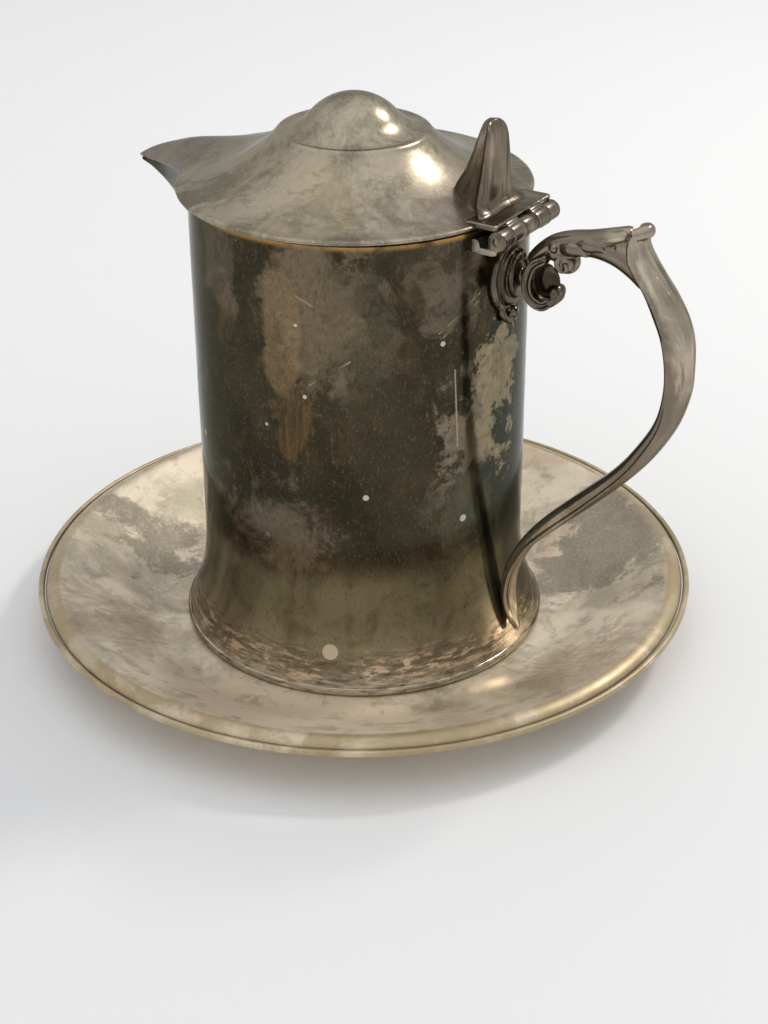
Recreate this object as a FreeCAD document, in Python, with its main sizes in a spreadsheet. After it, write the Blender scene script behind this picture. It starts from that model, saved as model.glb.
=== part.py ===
import FreeCAD, Part
import math
import os
import re

import Sketcher

# Lidded pouring jug on its underplate, in silver plate.
# Frame: origin at the centre of the underplate's underside, +Z up, +X towards the
# handle, -X towards the spout. The hinge pin runs along Y.
# Jug and lid pieces are drawn in a frame that stands on the underplate's well, and
# each piece's Placement lifts it by seat_height.

DIMENSIONS = [
    # underplate
    ("plate_radius", 82.5), ("plate_gauge", 1.2), ("well_radius", 49.0),
    ("cove_radius", 18.0), ("cove_slope", 28.0), ("crease_radius", 77.0),
    ("brim_radius", 80.85), ("brim_height", 12.1), ("brim_bow", 7.0),
    ("rim_wire_radius", 0.8), ("rim_wire_height", 11.6),
    # jug body and foot
    ("seat_height", 1.3), ("body_radius", 39.6), ("body_gauge", 1.2),
    ("mouth_height", 111.6), ("flare_top", 24.0), ("flare_bow", 49.3),
    ("foot_height", 2.1), ("foot_radius", 45.5), ("foot_inner", 43.4),
    ("foot_bow", 1.3), ("base_height", 4.0), ("base_radius", 42.0),
    # spout
    ("spout_reach", 64.6), ("spout_width", 16.2), ("spout_foot", 87.0),
    ("spout_tip_height", 107.2), ("spout_gauge", 1.0), ("tip_width", 1.3),
    ("spout_root", 37.0), ("spout_waist", 47.0), ("spout_neck", 56.0),
    ("waist_keel", 91.6), ("neck_keel", 100.6),
    # lid
    ("lid_offset", -1.2), ("lid_radius", 41.2), ("lid_under", 111.9),
    ("lid_gauge", 1.1), ("ogee_bow", 34.2), ("shoulder_radius", 18.0),
    ("shoulder_height", 124.3), ("shoulder_bow", 1.1), ("shoulder_width", 1.7),
    ("dome_cove", 9.5), ("dome_height", 133.1), ("dome_foot", 10.4), ("dome_rise", 4.9),
    ("bezel_radius", 37.4), ("bezel_gauge", 0.8), ("bezel_depth", 4.0),
    ("beak_crown", 4.2), ("beak_overhang", 0.8),
    # hinge
    ("pin_x", 43.6), ("pin_z", 110.4), ("pin_radius", 1.0), ("bore_radius", 1.05),
    ("knuckle_radius", 2.0), ("barrel_length", 25.0), ("end_knuckle", 4.6),
    ("lid_knuckle", 5.2), ("knuckle_gap", 0.2), ("leaf_gauge", 1.2),
    ("leaf_top", 113.9), ("leaf_start", 37.25), ("leaf_end", 43.5),
    ("strip_gauge", 1.0), ("strip_under", 107.0), ("strip_start", 34.0),
    ("cheek_drop", 0.9),
    # thumbpiece
    ("thumb_top", 133.0), ("thumb_back", 37.2), ("thumb_width", 12.0),
    ("thumb_foot_depth", 13.0), ("thumb_waist_depth", 10.6), ("thumb_neck_depth", 6.0),
    ("thumb_head_depth", 4.0),
    # handle
    ("handle_width", 7.0), ("handle_gauge", 5.4), ("tail_gauge", 4.4),
    ("grip_x", 55.2), ("grip_z", 83.2), ("grip_bow", 28.3),
    ("tail_x", 79.5), ("tail_z", 15.0), ("tail_bow", 37.0),
    ("tail_end", 45.2), ("tail_end_height", 3.8),
    ("arm_root", 45.0), ("arm_root_height", 102.0), ("arm_root_width", 4.6),
    ("arm_top", 111.6), ("arm_gauge", 4.8), ("knob_x", 72.6), ("knob_z", 116.2),
    ("scroll_x", 49.0), ("scroll_z", 97.0), ("scroll_bow", 5.6),
    ("scroll_width", 7.6), ("mount_z", 95.0), ("mount_height", 21.0),
    ("mount_width", 14.0), ("mount_face", 43.2),
]
NAMES = {name for name, value in DIMENSIONS}

doc = FreeCAD.newDocument("lidded_jug")
sheet = doc.addObject("Spreadsheet::Sheet", "dims")
for row, (name, value) in enumerate(DIMENSIONS, start=1):
    sheet.set("A%d" % row, name)
    sheet.set("B%d" % row, str(value))
    sheet.setAlias("B%d" % row, name)
doc.recompute()


def linked(formula):
    """A formula in sheet names, rewritten so that other objects can use it."""
    def prefix(match):
        word = match.group(0)
        return "dims." + word if word in NAMES else word
    return re.sub(r"[a-z_]+", prefix, str(formula))


def value(formula):
    """The number that a formula in sheet names comes to."""
    result = sheet.evalExpression(re.sub(r"dims\.", "", linked(formula)))
    return float(getattr(result, "Value", result))


def new_body(label, lift="seat_height"):
    """A body whose Placement is bound to the sheet."""
    body = doc.addObject("PartDesign::Body", label)
    body.Label = label
    body.setExpression("Placement.Base.z", linked(lift))
    return body


def new_sketch(body, name, plane, offset="0"):
    """A sketch on one of the body's own origin planes, moved along its normal."""
    sketch = body.newObject("Sketcher::SketchObject", name)
    support = [f for f in body.Origin.OriginFeatures if f.Role == plane][0]
    sketch.AttachmentSupport = [(support, "")]
    sketch.MapMode = "FlatFace"
    sketch.setExpression("AttachmentOffset.Base.z", linked(offset))
    return sketch


def pin_point(sketch, geometry, end, x, y):
    """Hold one point at two formulas, measured from the sketch's origin."""
    for kind, formula in (("DistanceX", x), ("DistanceY", y)):
        index = sketch.addConstraint(
            Sketcher.Constraint(kind, geometry, end, value(formula)))
        sketch.setExpression("Constraints[%d]" % index, linked(formula))


def arc_between(start, end, radius):
    """The arc from start to end: centre on the left for a positive radius."""
    chord = end.sub(start)
    half = chord.Length / 2
    side = FreeCAD.Vector(-chord.y, chord.x, 0).normalize()
    rise = math.sqrt(max(radius * radius - half * half, 0.0))
    centre = (start + end) * 0.5 + side * math.copysign(rise, radius)
    first, last = (start, end) if radius > 0 else (end, start)
    a0 = math.atan2(first.y - centre.y, first.x - centre.x)
    a1 = math.atan2(last.y - centre.y, last.x - centre.x)
    if a1 <= a0:
        a1 += 2 * math.pi
    circle = Part.Circle(centre, FreeCAD.Vector(0, 0, 1), abs(radius))
    return Part.ArcOfCircle(circle, a0, a1)


def draw(sketch, corners):
    """A closed outline. Each corner is (x, y) or (x, y, radius of the arc that leaves it);
    a positive radius turns left."""
    points = [FreeCAD.Vector(value(c[0]), value(c[1]), 0) for c in corners]
    ends = []
    for i, corner in enumerate(corners):
        start, end = points[i], points[(i + 1) % len(points)]
        if len(corner) == 2:
            index = sketch.addGeometry(Part.LineSegment(start, end))
            ends.append((index, 1, 2))
            continue
        radius = value(corner[2])
        index = sketch.addGeometry(arc_between(start, end, radius))
        ends.append((index, 1, 2) if radius > 0 else (index, 2, 1))
        number = sketch.addConstraint(Sketcher.Constraint("Radius", index, abs(radius)))
        sketch.setExpression("Constraints[%d]" % number, linked("abs(%s)" % corner[2]))
    for i, corner in enumerate(corners):
        index, first, last = ends[i]
        after, after_first, after_last = ends[(i + 1) % len(ends)]
        sketch.addConstraint(
            Sketcher.Constraint("Coincident", index, last, after, after_first))
        pin_point(sketch, index, first, corner[0], corner[1])
    return sketch


def draw_circle(sketch, x, y, radius):
    """A circle held by its centre and its radius."""
    centre = FreeCAD.Vector(value(x), value(y), 0)
    circle = Part.Circle(centre, FreeCAD.Vector(0, 0, 1), value(radius))
    index = sketch.addGeometry(circle)
    number = sketch.addConstraint(Sketcher.Constraint("Radius", index, value(radius)))
    sketch.setExpression("Constraints[%d]" % number, linked(radius))
    pin_point(sketch, index, 3, x, y)
    return sketch


def revolve(body, name, corners, axis="0", cut=False):
    """Turn an outline about the upright line at x = axis, as material or as a groove.
    The outline's x values are radii from that line."""
    sketch = new_sketch(body, name + "_outline", "XZ_Plane")
    draw(sketch, [("(%s) + %s" % (corner[0], axis),) + corner[1:] for corner in corners])
    start = FreeCAD.Vector(value(axis), 0, 0)
    line = sketch.addGeometry(Part.LineSegment(start, start + FreeCAD.Vector(0, 10, 0)), True)
    pin_point(sketch, line, 1, axis, "0")
    pin_point(sketch, line, 2, axis, "10")
    doc.recompute()
    before = body.Shape.Volume if cut else 0.0
    feature = body.newObject("PartDesign::Groove" if cut else "PartDesign::Revolution", name)
    feature.Profile = sketch
    feature.ReferenceAxis = (sketch, ["Axis0"])
    feature.Angle = 360
    doc.recompute()
    if cut and body.Shape.Volume >= before - 0.01:
        raise RuntimeError("%s cut nothing" % name)
    return feature


def pad(body, name, sketch, length, both_sides=False):
    """Push a sketch along its normal, or half each way."""
    feature = body.newObject("PartDesign::Pad", name)
    feature.Profile = sketch
    feature.setExpression("Length", linked(length))
    if both_sides:
        feature.SideType = "Symmetric"
    return feature


def pocket(body, name, sketch, length, reverse=False, both_sides=False):
    """Cut a sketch away over a length, and make sure that something went."""
    doc.recompute()
    before = body.Shape.Volume
    feature = body.newObject("PartDesign::Pocket", name)
    feature.Profile = sketch
    feature.setExpression("Length", linked(length))
    feature.Reversed = reverse
    if both_sides:
        feature.SideType = "Symmetric"
    doc.recompute()
    if body.Shape.Volume >= before - 0.01:
        raise RuntimeError("%s cut nothing" % name)
    return feature


def loft(body, name, sketches, cut=False):
    """Skin a row of sketches, as material or as a hollow."""
    kind = "PartDesign::SubtractiveLoft" if cut else "PartDesign::AdditiveLoft"
    feature = body.newObject(kind, name)
    feature.Profile = sketches[0]
    feature.Sections = sketches[1:]
    feature.Ruled = False
    return feature


def underplate():
    """Spun dish with a flat well, a coved wall, a crease and a drooping brim."""
    dish = new_body("underplate_dish", "0")
    slope = "cove_slope"
    cove_end = "well_radius + cove_radius * sin(%s)" % slope
    cove_rise = "plate_gauge + cove_radius * (1 - cos(%s))" % slope
    crease_rise = "%s + (crease_radius - (%s)) * tan(%s)" % (cove_rise, cove_end, slope)
    under_end = "well_radius + (cove_radius + plate_gauge) * sin(%s)" % slope
    under_rise = "(cove_radius + plate_gauge) * (1 - cos(%s))" % slope
    revolve(dish, "dish", [
        ("0", "0"),
        ("well_radius", "0", "cove_radius + plate_gauge"),
        (under_end, under_rise),
        ("crease_radius + 0.2", "%s - plate_gauge - 0.1" % crease_rise, "0 - brim_bow"),
        ("brim_radius - 0.1", "brim_height - plate_gauge"),
        ("brim_radius", "brim_height", "brim_bow"),
        ("crease_radius", crease_rise),
        (cove_end, cove_rise, "0 - cove_radius"),
        ("well_radius", "plate_gauge"),
        ("0", "plate_gauge"),
    ])
    wire = new_body("underplate_rim_wire", "0")
    inside = "plate_radius - 2 * rim_wire_radius"
    under = "rim_wire_height - rim_wire_radius"
    over = "rim_wire_height + rim_wire_radius"
    revolve(wire, "wire", [
        (inside, under),
        ("plate_radius - rim_wire_radius * 0.6", under, "rim_wire_radius * 0.6"),
        ("plate_radius", under + " + rim_wire_radius * 0.6"),
        ("plate_radius", over + " - rim_wire_radius * 0.6", "rim_wire_radius * 0.6"),
        ("plate_radius - rim_wire_radius * 0.6", over),
        (inside, over),
    ])


def flare(height, inward="0"):
    """Radius of the flared foot at a height, on its outer or its inner face."""
    bow = "(flare_bow + %s)" % inward
    return "body_radius + flare_bow - sqrt(%s^2 - (flare_top - %s)^2)" % (bow, height)


def jug_body():
    """Straight drum with a flared foot, open at the mouth and cut away for the spout."""
    body = new_body("jug_body")
    revolve(body, "wall", [
        (flare("foot_height"), "foot_height", "0 - flare_bow"),
        ("body_radius", "flare_top"),
        ("body_radius", "mouth_height"),
        ("body_radius - body_gauge", "mouth_height"),
        ("body_radius - body_gauge", "flare_top", "flare_bow + body_gauge"),
        (flare("foot_height", "body_gauge"), "foot_height"),
    ])
    mouth = draw(new_sketch(body, "spout_opening", "YZ_Plane"), [
        ("0", "spout_foot + 4"),
        ("spout_width - 2.4", "mouth_height + 1"),
        ("2.4 - spout_width", "mouth_height + 1"),
    ])
    pocket(body, "opening", mouth, "body_radius + 5")

    base = new_body("jug_base_disc")
    disc = new_sketch(base, "disc_outline", "XY_Plane", "base_height")
    draw_circle(disc, "0", "0", "base_radius")
    pad(base, "disc", disc, "body_gauge")

    foot = new_body("jug_foot_ring")
    revolve(foot, "ring", [
        ("foot_inner", "0"),
        ("foot_radius - 0.3", "0", "foot_bow"),
        ("foot_radius - 0.5", "foot_height"),
        ("foot_inner", "foot_height"),
    ])


def spout_section(body, name, place, half_width, top, keel, nose):
    """A V section across the spout, with a rounded keel."""
    sketch = new_sketch(body, name, "YZ_Plane", place)
    lean = "(%s) * 0.35" % nose
    return draw(sketch, [
        ("0 - (%s)" % nose, "%s + %s" % (keel, lean), "(%s) * 1.1" % nose),
        (nose, "%s + %s" % (keel, lean)),
        (half_width, top),
        ("0 - (%s)" % half_width, top),
    ])


def spout_stations():
    """Place along the spout, half width, lip height and keel height at four stations."""
    drop = "(lid_under - 0.3 - spout_tip_height)"
    return [
        ("0 - spout_root", "spout_width + 1.4", "lid_under - 0.3", "spout_foot - 1.5"),
        ("0 - spout_waist", "spout_width * 0.62", "lid_under - 0.3 - %s * 0.36" % drop,
         "waist_keel"),
        ("0 - spout_neck", "spout_width * 0.27", "lid_under - 0.3 - %s * 0.70" % drop,
         "neck_keel"),
        ("0 - spout_reach", "tip_width", "spout_tip_height", "spout_tip_height - 1.3"),
    ]


def spout():
    """Beak soldered over the opening: a V channel that narrows to the pouring tip."""
    body = new_body("spout")
    outer, inner = [], []
    for number, (place, wide, top, keel) in enumerate(spout_stations(), start=1):
        nose = "(%s) * 0.22 + 0.25" % wide
        outer.append(spout_section(body, "outer_%d" % number, place, wide, top, keel, nose))
        if number < 4:
            thin = "(%s - spout_gauge)" % wide
            inner.append(spout_section(
                body, "inner_%d" % number, place, thin, "%s + 0.6" % top,
                "%s + spout_gauge * 1.3" % keel, "(%s) * 0.22" % thin))
    loft(body, "beak", outer)
    doc.recompute()
    mouth = new_sketch(body, "inner_4", "YZ_Plane", "0 - spout_reach - 0.6")
    draw(mouth, [
        ("-0.15", "spout_tip_height - 0.05", "0.25"),
        ("0.15", "spout_tip_height - 0.05"),
        ("tip_width - 0.8", "spout_tip_height + 0.6"),
        ("0.8 - tip_width", "spout_tip_height + 0.6"),
    ])
    loft(body, "channel", inner + [mouth], cut=True)
    drum = new_sketch(body, "drum_outline", "XY_Plane", "mouth_height + 5")
    draw_circle(drum, "0", "0", "body_radius")
    pocket(body, "drum", drum, "60")


def dome_bow():
    """Radius of the dome, whose centre lies on the lid's axis."""
    return "((dome_foot^2 + dome_rise^2) / (2 * dome_rise))"


def lid_top():
    """Upper outline of the lid, from the rim in to the middle of the dome."""
    return [
        ("lid_radius", "lid_under + 1.2", "0 - ogee_bow"),
        ("shoulder_radius", "shoulder_height", "shoulder_bow"),
        ("shoulder_radius - shoulder_width", "shoulder_height + 0.6", "0 - dome_cove"),
        ("dome_foot", "dome_height - dome_rise", dome_bow()),
        ("0", "dome_height"),
    ]


def lid():
    """Ogee lid that turns at a round shoulder into a small dome, one gauge thick."""
    shell = new_body("lid_shell")
    revolve(shell, "ogee", [("lid_radius", "lid_under")] + lid_top() + [
        ("0", "dome_height - lid_gauge", "lid_gauge - %s" % dome_bow()),
        ("dome_foot * (1 - lid_gauge / %s)" % dome_bow(),
         "dome_height - dome_rise - lid_gauge * (1 - dome_rise / %s)" % dome_bow(),
         "dome_cove + lid_gauge"),
        ("shoulder_radius - shoulder_width - 0.5", "shoulder_height - 0.5", "0 - 1.0"),
        ("shoulder_radius - 0.8", "shoulder_height - 0.8", "ogee_bow + lid_gauge"),
        ("lid_radius - 1.4", "lid_under"),
    ], axis="lid_offset")
    bezel = new_body("lid_bezel")
    ring = new_sketch(bezel, "bezel_outline", "XY_Plane", "lid_under - bezel_depth")
    draw_circle(ring, "0", "0", "bezel_radius")
    draw_circle(ring, "0", "0", "bezel_radius - bezel_gauge")
    pad(bezel, "collar", ring, "bezel_depth")
    gap = draw(new_sketch(bezel, "spout_gap", "XY_Plane", "lid_under + 1"), [
        ("0", "0"), ("-40", "24"), ("-60", "0"), ("-40", "-24"),
    ])
    pocket(bezel, "gap", gap, "bezel_depth + 2")


def trim_by_lid(body):
    """Cut away whatever reaches below the lid's upper face, inside its rim."""
    corners = [("0", "lid_under - 3"), ("lid_radius", "lid_under - 3")]
    revolve(body, "lid_trim", corners + lid_top(), axis="lid_offset", cut=True)


def beak_section(body, name, place, half_width, edge, crown, sink="0"):
    """A crowned section across the beak cover."""
    sketch = new_sketch(body, name, "YZ_Plane", place)
    wide = "(%s)" % half_width
    bow = "((%s)^2 + (%s)^2) / (2 * (%s))" % (half_width, crown, crown)
    return draw(sketch, [
        ("0 - " + wide, "%s - %s" % (edge, sink)),
        (wide, "%s - %s" % (edge, sink)),
        (wide, edge, bow),
        ("0 - " + wide, edge),
    ])


def lid_beak():
    """Crowned cover that carries the lid out over the spout."""
    body = new_body("lid_beak_cover")
    crowns = ["beak_crown", "beak_crown * 0.9", "beak_crown * 0.6", "0.9"]
    outer, inner = [], []
    for number, station in enumerate(spout_stations(), start=1):
        place, wide, top, keel = station
        crown = crowns[number - 1]
        wide = "(%s + beak_overhang)" % wide
        edge = "(%s + 0.9)" % top
        outer.append(beak_section(body, "top_%d" % number, place, wide, edge, crown, "0.6"))
        if number < 4:
            inner.append(beak_section(
                body, "under_%d" % number, place, "(%s - lid_gauge)" % wide,
                "(%s - 0.6)" % edge, "(%s - 0.5)" % crown, "1.0"))
    loft(body, "cover", outer)
    loft(body, "hollow", inner, cut=True)
    trim_by_lid(body)


def hinge_leaf():
    """Lid leaf: a plate over the brim that rolls down into two knuckles on the pin."""
    body = new_body("hinge_lid_leaf")
    half = "barrel_length / 2"
    plate = draw(new_sketch(body, "leaf_outline", "XY_Plane", "leaf_top - leaf_gauge"), [
        ("leaf_start", "0 - (%s - 1)" % half),
        ("leaf_end - 1", "0 - (%s)" % half),
        ("leaf_end", "1 - %s" % half, "60"),
        ("leaf_end", "%s - 1" % half),
        ("leaf_end - 1", half),
        ("leaf_start", "%s - 1" % half),
    ])
    pad(body, "leaf", plate, "leaf_gauge")
    for side, name in ((-1, "near"), (1, "far")):
        middle = "(barrel_length / 2 - end_knuckle - lid_knuckle / 2) * %d" % side
        knuckle_up(body, name, middle, "lid_knuckle - knuckle_gap")
    bore_through(body)
    trim_by_lid(body)


def knuckle_up(body, name, middle, length):
    """A barrel segment on the pin axis, with a web that rises into the lid's leaf."""
    web_top = "leaf_top - 0.3"
    section = draw(new_sketch(body, name + "_knuckle", "XZ_Plane", "0 - (%s)" % middle), [
        ("pin_x - knuckle_radius", "pin_z", "knuckle_radius"),
        ("pin_x", "pin_z - knuckle_radius", "knuckle_radius"),
        ("pin_x + knuckle_radius", "pin_z"),
        ("pin_x + knuckle_radius * 0.1", web_top),
        ("pin_x - knuckle_radius", web_top),
    ])
    pad(body, name, section, length, both_sides=True)


def knuckle_down(body, name, middle, length):
    """A barrel segment on the pin axis, with a web that drops into the body's strip."""
    section = draw(new_sketch(body, name + "_knuckle", "XZ_Plane", "0 - (%s)" % middle), [
        ("pin_x + knuckle_radius", "pin_z", "knuckle_radius"),
        ("pin_x", "pin_z + knuckle_radius", "knuckle_radius"),
        ("pin_x - knuckle_radius", "pin_z"),
        ("pin_x - knuckle_radius", "strip_under"),
        ("pin_x + knuckle_radius", "strip_under"),
    ])
    pad(body, name, section, length, both_sides=True)


def bore_through(body):
    """The pin's running bore, right through the barrel."""
    bore = draw_circle(new_sketch(body, "bore_outline", "XZ_Plane"),
                       "pin_x", "pin_z", "bore_radius")
    pocket(body, "bore", bore, "barrel_length * 2", both_sides=True)


def hinge_bracket():
    """Body bracket: a strip under the barrel, soldered to the wall, with three knuckles."""
    body = new_body("hinge_body_bracket")
    half = "barrel_length / 2"
    strip = draw(new_sketch(body, "strip_outline", "XY_Plane", "strip_under"), [
        ("strip_start", "0 - %s" % half),
        ("pin_x", "0 - %s" % half),
        ("pin_x", half),
        ("strip_start", half),
    ])
    pad(body, "strip", strip, "strip_gauge")
    for side, name in ((-1, "near"), (1, "far")):
        middle = "(%s - end_knuckle / 2) * %d" % (half, side)
        knuckle_down(body, name, middle, "end_knuckle - knuckle_gap / 2")
        cheek = draw(new_sketch(body, name + "_cheek", "XZ_Plane", "0 - (%s)" % middle), [
            ("strip_start", "strip_under"),
            ("pin_x", "strip_under"),
            ("pin_x", "pin_z + 0.2"),
            ("strip_start + 4.6", "pin_z - cheek_drop"),
            ("strip_start", "pin_z - cheek_drop"),
        ])
        pad(body, name + "_block", cheek, "end_knuckle - knuckle_gap / 2", both_sides=True)
    knuckle_down(body, "middle", "0",
                 "barrel_length - 2 * end_knuckle - 2 * lid_knuckle - knuckle_gap")
    drum = draw_circle(new_sketch(body, "drum_outline", "XY_Plane", "mouth_height"),
                       "0", "0", "body_radius")
    pocket(body, "drum", drum, "20")
    bore_through(body)


def hinge():
    """Five-knuckle barrel hinge between lid and body."""
    hinge_leaf()
    hinge_bracket()
    pin = new_body("hinge_pin")
    section = draw_circle(new_sketch(pin, "pin_outline", "XZ_Plane"),
                          "pin_x", "pin_z", "pin_radius")
    pad(pin, "pin", section, "barrel_length + 0.4", both_sides=True)


def thumb_section(body, name, height, back, front, back_half, front_half):
    """A level section of the thumbpiece: wide behind, narrow in front."""
    sketch = new_sketch(body, name, "XY_Plane", height)
    return draw(sketch, [
        (back, "0 - (%s)" % back_half),
        (back, back_half),
        (front, front_half),
        (front, "0 - (%s)" % front_half),
    ])


def thumbpiece():
    """Upright fin on the lid, pressed back with the thumb to open it."""
    body = new_body("thumbpiece")
    half = "thumb_width / 2"
    back = "thumb_back"
    sections = [
        thumb_section(body, "foot", "lid_under + 0.5", back, back + " - thumb_foot_depth",
                      half, half + " * 0.73"),
        thumb_section(body, "waist", "lid_under + 9", back, back + " - thumb_waist_depth",
                      half + " * 0.85", half + " * 0.43"),
        thumb_section(body, "neck", "thumb_top - 4.5", back, back + " - thumb_neck_depth",
                      half + " * 0.72", half + " * 0.40"),
        thumb_section(body, "head", "thumb_top", back + " - 0.9", back + " - thumb_head_depth",
                      half + " * 0.42", half + " * 0.27"),
    ]
    loft(body, "fin", sections)
    trim_by_lid(body)


def handle():
    """Cast handle: an arm from the mouth to the knob, a round grip and a curved tail."""
    body = new_body("handle")
    out = "handle_gauge / 2"
    thin = "tail_gauge / 2"
    outline = draw(new_sketch(body, "side_outline", "XZ_Plane"), [
        ("tail_end", "tail_end_height", "%s - tail_bow" % thin),
        ("tail_x - tail_bow * 0.7071 + %s" % thin, "tail_z + tail_bow * 0.7071 - %s" % thin),
        ("grip_x + grip_bow * 0.7071 + %s * 0.7" % out,
         "grip_z - grip_bow * 0.7071 - %s * 0.7" % out, "grip_bow + %s" % out),
        ("knob_x + 5.6", "knob_z - 12.6"),
        ("knob_x + 1.0", "knob_z - 5.0"),
        ("knob_x + 1.2", "knob_z - 1.0", "1.2"),
        ("knob_x - 0.9", "knob_z"),
        ("knob_x - 4.0", "arm_top + 1.4", "0 - 14"),
        ("62.0", "arm_top - 0.1", "16"),
        ("51.6", "arm_top - 3.2", "10"),
        ("arm_root", "arm_root_height"),
        ("arm_root + arm_root_width", "arm_root_height", "0 - 8"),
        ("54.0", "arm_top - arm_gauge - 1.2", "0 - 16"),
        ("63.0", "arm_top - arm_gauge - 0.2", "0 - 14"),
        ("knob_x - 0.6", "knob_z - 13.2", "0 - (grip_bow - %s)" % out),
        ("grip_x + grip_bow * 0.7071 - %s * 0.7" % out,
         "grip_z - grip_bow * 0.7071 + %s * 0.7" % out),
        ("tail_x - tail_bow * 0.7071 - %s" % thin,
         "tail_z + tail_bow * 0.7071 + %s" % thin, "tail_bow + %s" % thin),
        ("tail_end - 2.5", "tail_end_height + 0.6"),
    ])
    pad(body, "casting", outline, "handle_width", both_sides=True)
    revolve(body, "wall_trim", [
        ("0", "0"),
        ("foot_radius", "0"),
        ("foot_radius", "foot_height"),
        (flare("foot_height"), "foot_height", "0 - flare_bow"),
        ("body_radius", "flare_top"),
        ("body_radius", "mouth_height"),
        ("0", "mouth_height"),
    ], cut=True)


def handle_details():
    """Scroll, leaf and body mount of the handle."""
    scroll = new_body("handle_scroll")
    inner = "(scroll_bow - 1.0)"
    outline = draw(new_sketch(scroll, "scroll_outline", "XZ_Plane"), [
        ("scroll_x - 3.6", "scroll_z + 5.0", "scroll_bow + 0.8"),
        ("scroll_x + 4.6", "scroll_z - 3.6", "2.0"),
        ("scroll_x + 3.4", "scroll_z - 0.2"),
        ("scroll_x + 2.2", "scroll_z - 2.8", "0 - %s" % inner),
        ("scroll_x - 1.0", "scroll_z + 4.4"),
        ("scroll_x - 0.6", "scroll_z + 5.0"),
    ])
    pad(scroll, "scroll", outline, "scroll_width", both_sides=True)

    mount = new_body("handle_mount")
    shield = draw(new_sketch(mount, "shield_outline", "YZ_Plane", "mount_face"), [
        ("0 - mount_width / 2", "mount_z", "mount_height * 0.62"),
        ("0", "mount_z - mount_height / 2", "mount_height * 0.62"),
        ("mount_width / 2", "mount_z", "mount_height * 0.62"),
        ("0", "mount_z + mount_height / 2", "mount_height * 0.62"),
    ])
    block = pad(mount, "shield", shield, "7")
    block.Reversed = True
    drum = draw_circle(new_sketch(mount, "drum_outline", "XY_Plane", "mouth_height + 5"),
                       "0", "0", "body_radius")
    pocket(mount, "drum", drum, "60")


def check_states():
    """Stop if any object of the document failed to build."""
    for item in doc.Objects:
        if "Invalid" in item.State or "Error" in item.State:
            raise RuntimeError("%s is %s" % (item.Name, item.State))


def save_parts():
    """Check every piece and write it."""
    doc.recompute()
    check_states()
    os.makedirs("parts", exist_ok=True)
    for item in doc.Objects:
        if item.TypeId != "PartDesign::Body":
            continue
        shape = item.Shape
        if shape.isNull() or not shape.isValid() or not shape.Solids:
            raise RuntimeError("%s has no valid solid" % item.Label)
        shape.exportStep("parts/%s.step" % item.Label)
        print(item.Label, len(shape.Solids), round(shape.Volume, 1))


underplate()
jug_body()
spout()
lid()
lid_beak()
hinge()
thumbpiece()
handle()
handle_details()
save_parts()
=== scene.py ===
import math

import bmesh
import bpy
import numpy as np
from mathutils import Matrix, Vector, noise


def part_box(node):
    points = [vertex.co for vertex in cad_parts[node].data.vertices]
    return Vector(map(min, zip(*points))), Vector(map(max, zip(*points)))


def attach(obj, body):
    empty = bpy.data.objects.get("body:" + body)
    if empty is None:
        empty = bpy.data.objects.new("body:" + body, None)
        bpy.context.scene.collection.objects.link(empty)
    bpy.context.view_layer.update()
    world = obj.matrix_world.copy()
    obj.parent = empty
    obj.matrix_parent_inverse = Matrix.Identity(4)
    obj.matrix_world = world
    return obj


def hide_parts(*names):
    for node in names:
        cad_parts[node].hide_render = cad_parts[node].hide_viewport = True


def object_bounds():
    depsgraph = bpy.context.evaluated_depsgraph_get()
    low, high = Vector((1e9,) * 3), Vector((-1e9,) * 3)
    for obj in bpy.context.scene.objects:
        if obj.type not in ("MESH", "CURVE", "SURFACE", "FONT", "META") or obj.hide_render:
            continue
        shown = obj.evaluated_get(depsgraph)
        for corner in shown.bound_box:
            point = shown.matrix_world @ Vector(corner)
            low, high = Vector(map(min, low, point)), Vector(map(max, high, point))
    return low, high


# Looks of the lidded jug on its underplate. Shapes are worked out in millimetres in the
# jug's own frame, which stands on the plate's well, and make() lifts them by SEAT.
# +X points to the handle, -X to the spout, and the hinge pin lies along Y.

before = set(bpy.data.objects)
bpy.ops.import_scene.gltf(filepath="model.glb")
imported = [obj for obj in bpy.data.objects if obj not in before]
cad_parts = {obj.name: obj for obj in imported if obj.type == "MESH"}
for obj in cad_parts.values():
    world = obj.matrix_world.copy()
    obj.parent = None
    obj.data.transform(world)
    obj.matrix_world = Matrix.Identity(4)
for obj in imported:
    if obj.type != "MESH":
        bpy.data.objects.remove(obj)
cad_low, cad_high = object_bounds()

MM = 0.001


def span(node):
    """Lowest and highest corner of a CAD node, in millimetres."""
    low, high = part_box(node)
    return low / MM, high / MM


SEAT = span("jug_foot_ring")[0].z
FOOT_RADIUS = span("jug_foot_ring")[1].x
MOUTH = span("jug_body")[1].z - SEAT
BASE_LOW = span("jug_base_disc")[0].z - SEAT
BASE_HIGH = span("jug_base_disc")[1].z - SEAT
LID_LOW = span("lid_shell")[0].z - SEAT
LID_TOP = span("lid_shell")[1].z - SEAT
LID_RADIUS = span("lid_shell")[1].y
LID_X = span("lid_shell")[1].x - LID_RADIUS
SPOUT_TIP = span("spout")[0].x
BEAK_TIP = span("lid_beak_cover")[0].x
BEZEL_LOW = span("lid_bezel")[0].z - SEAT
BEZEL_RADIUS = span("lid_bezel")[1].y
PIN_END = span("hinge_pin")[1].y
PIN_X = (span("hinge_pin")[0].x + span("hinge_pin")[1].x) / 2
PIN_Z = (span("hinge_pin")[0].z + span("hinge_pin")[1].z) / 2 - SEAT
PIN_RADIUS = (span("hinge_pin")[1].x - span("hinge_pin")[0].x) / 2
LEAF_TOP = span("hinge_lid_leaf")[1].z - SEAT
LEAF_HALF = span("hinge_lid_leaf")[1].y
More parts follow.
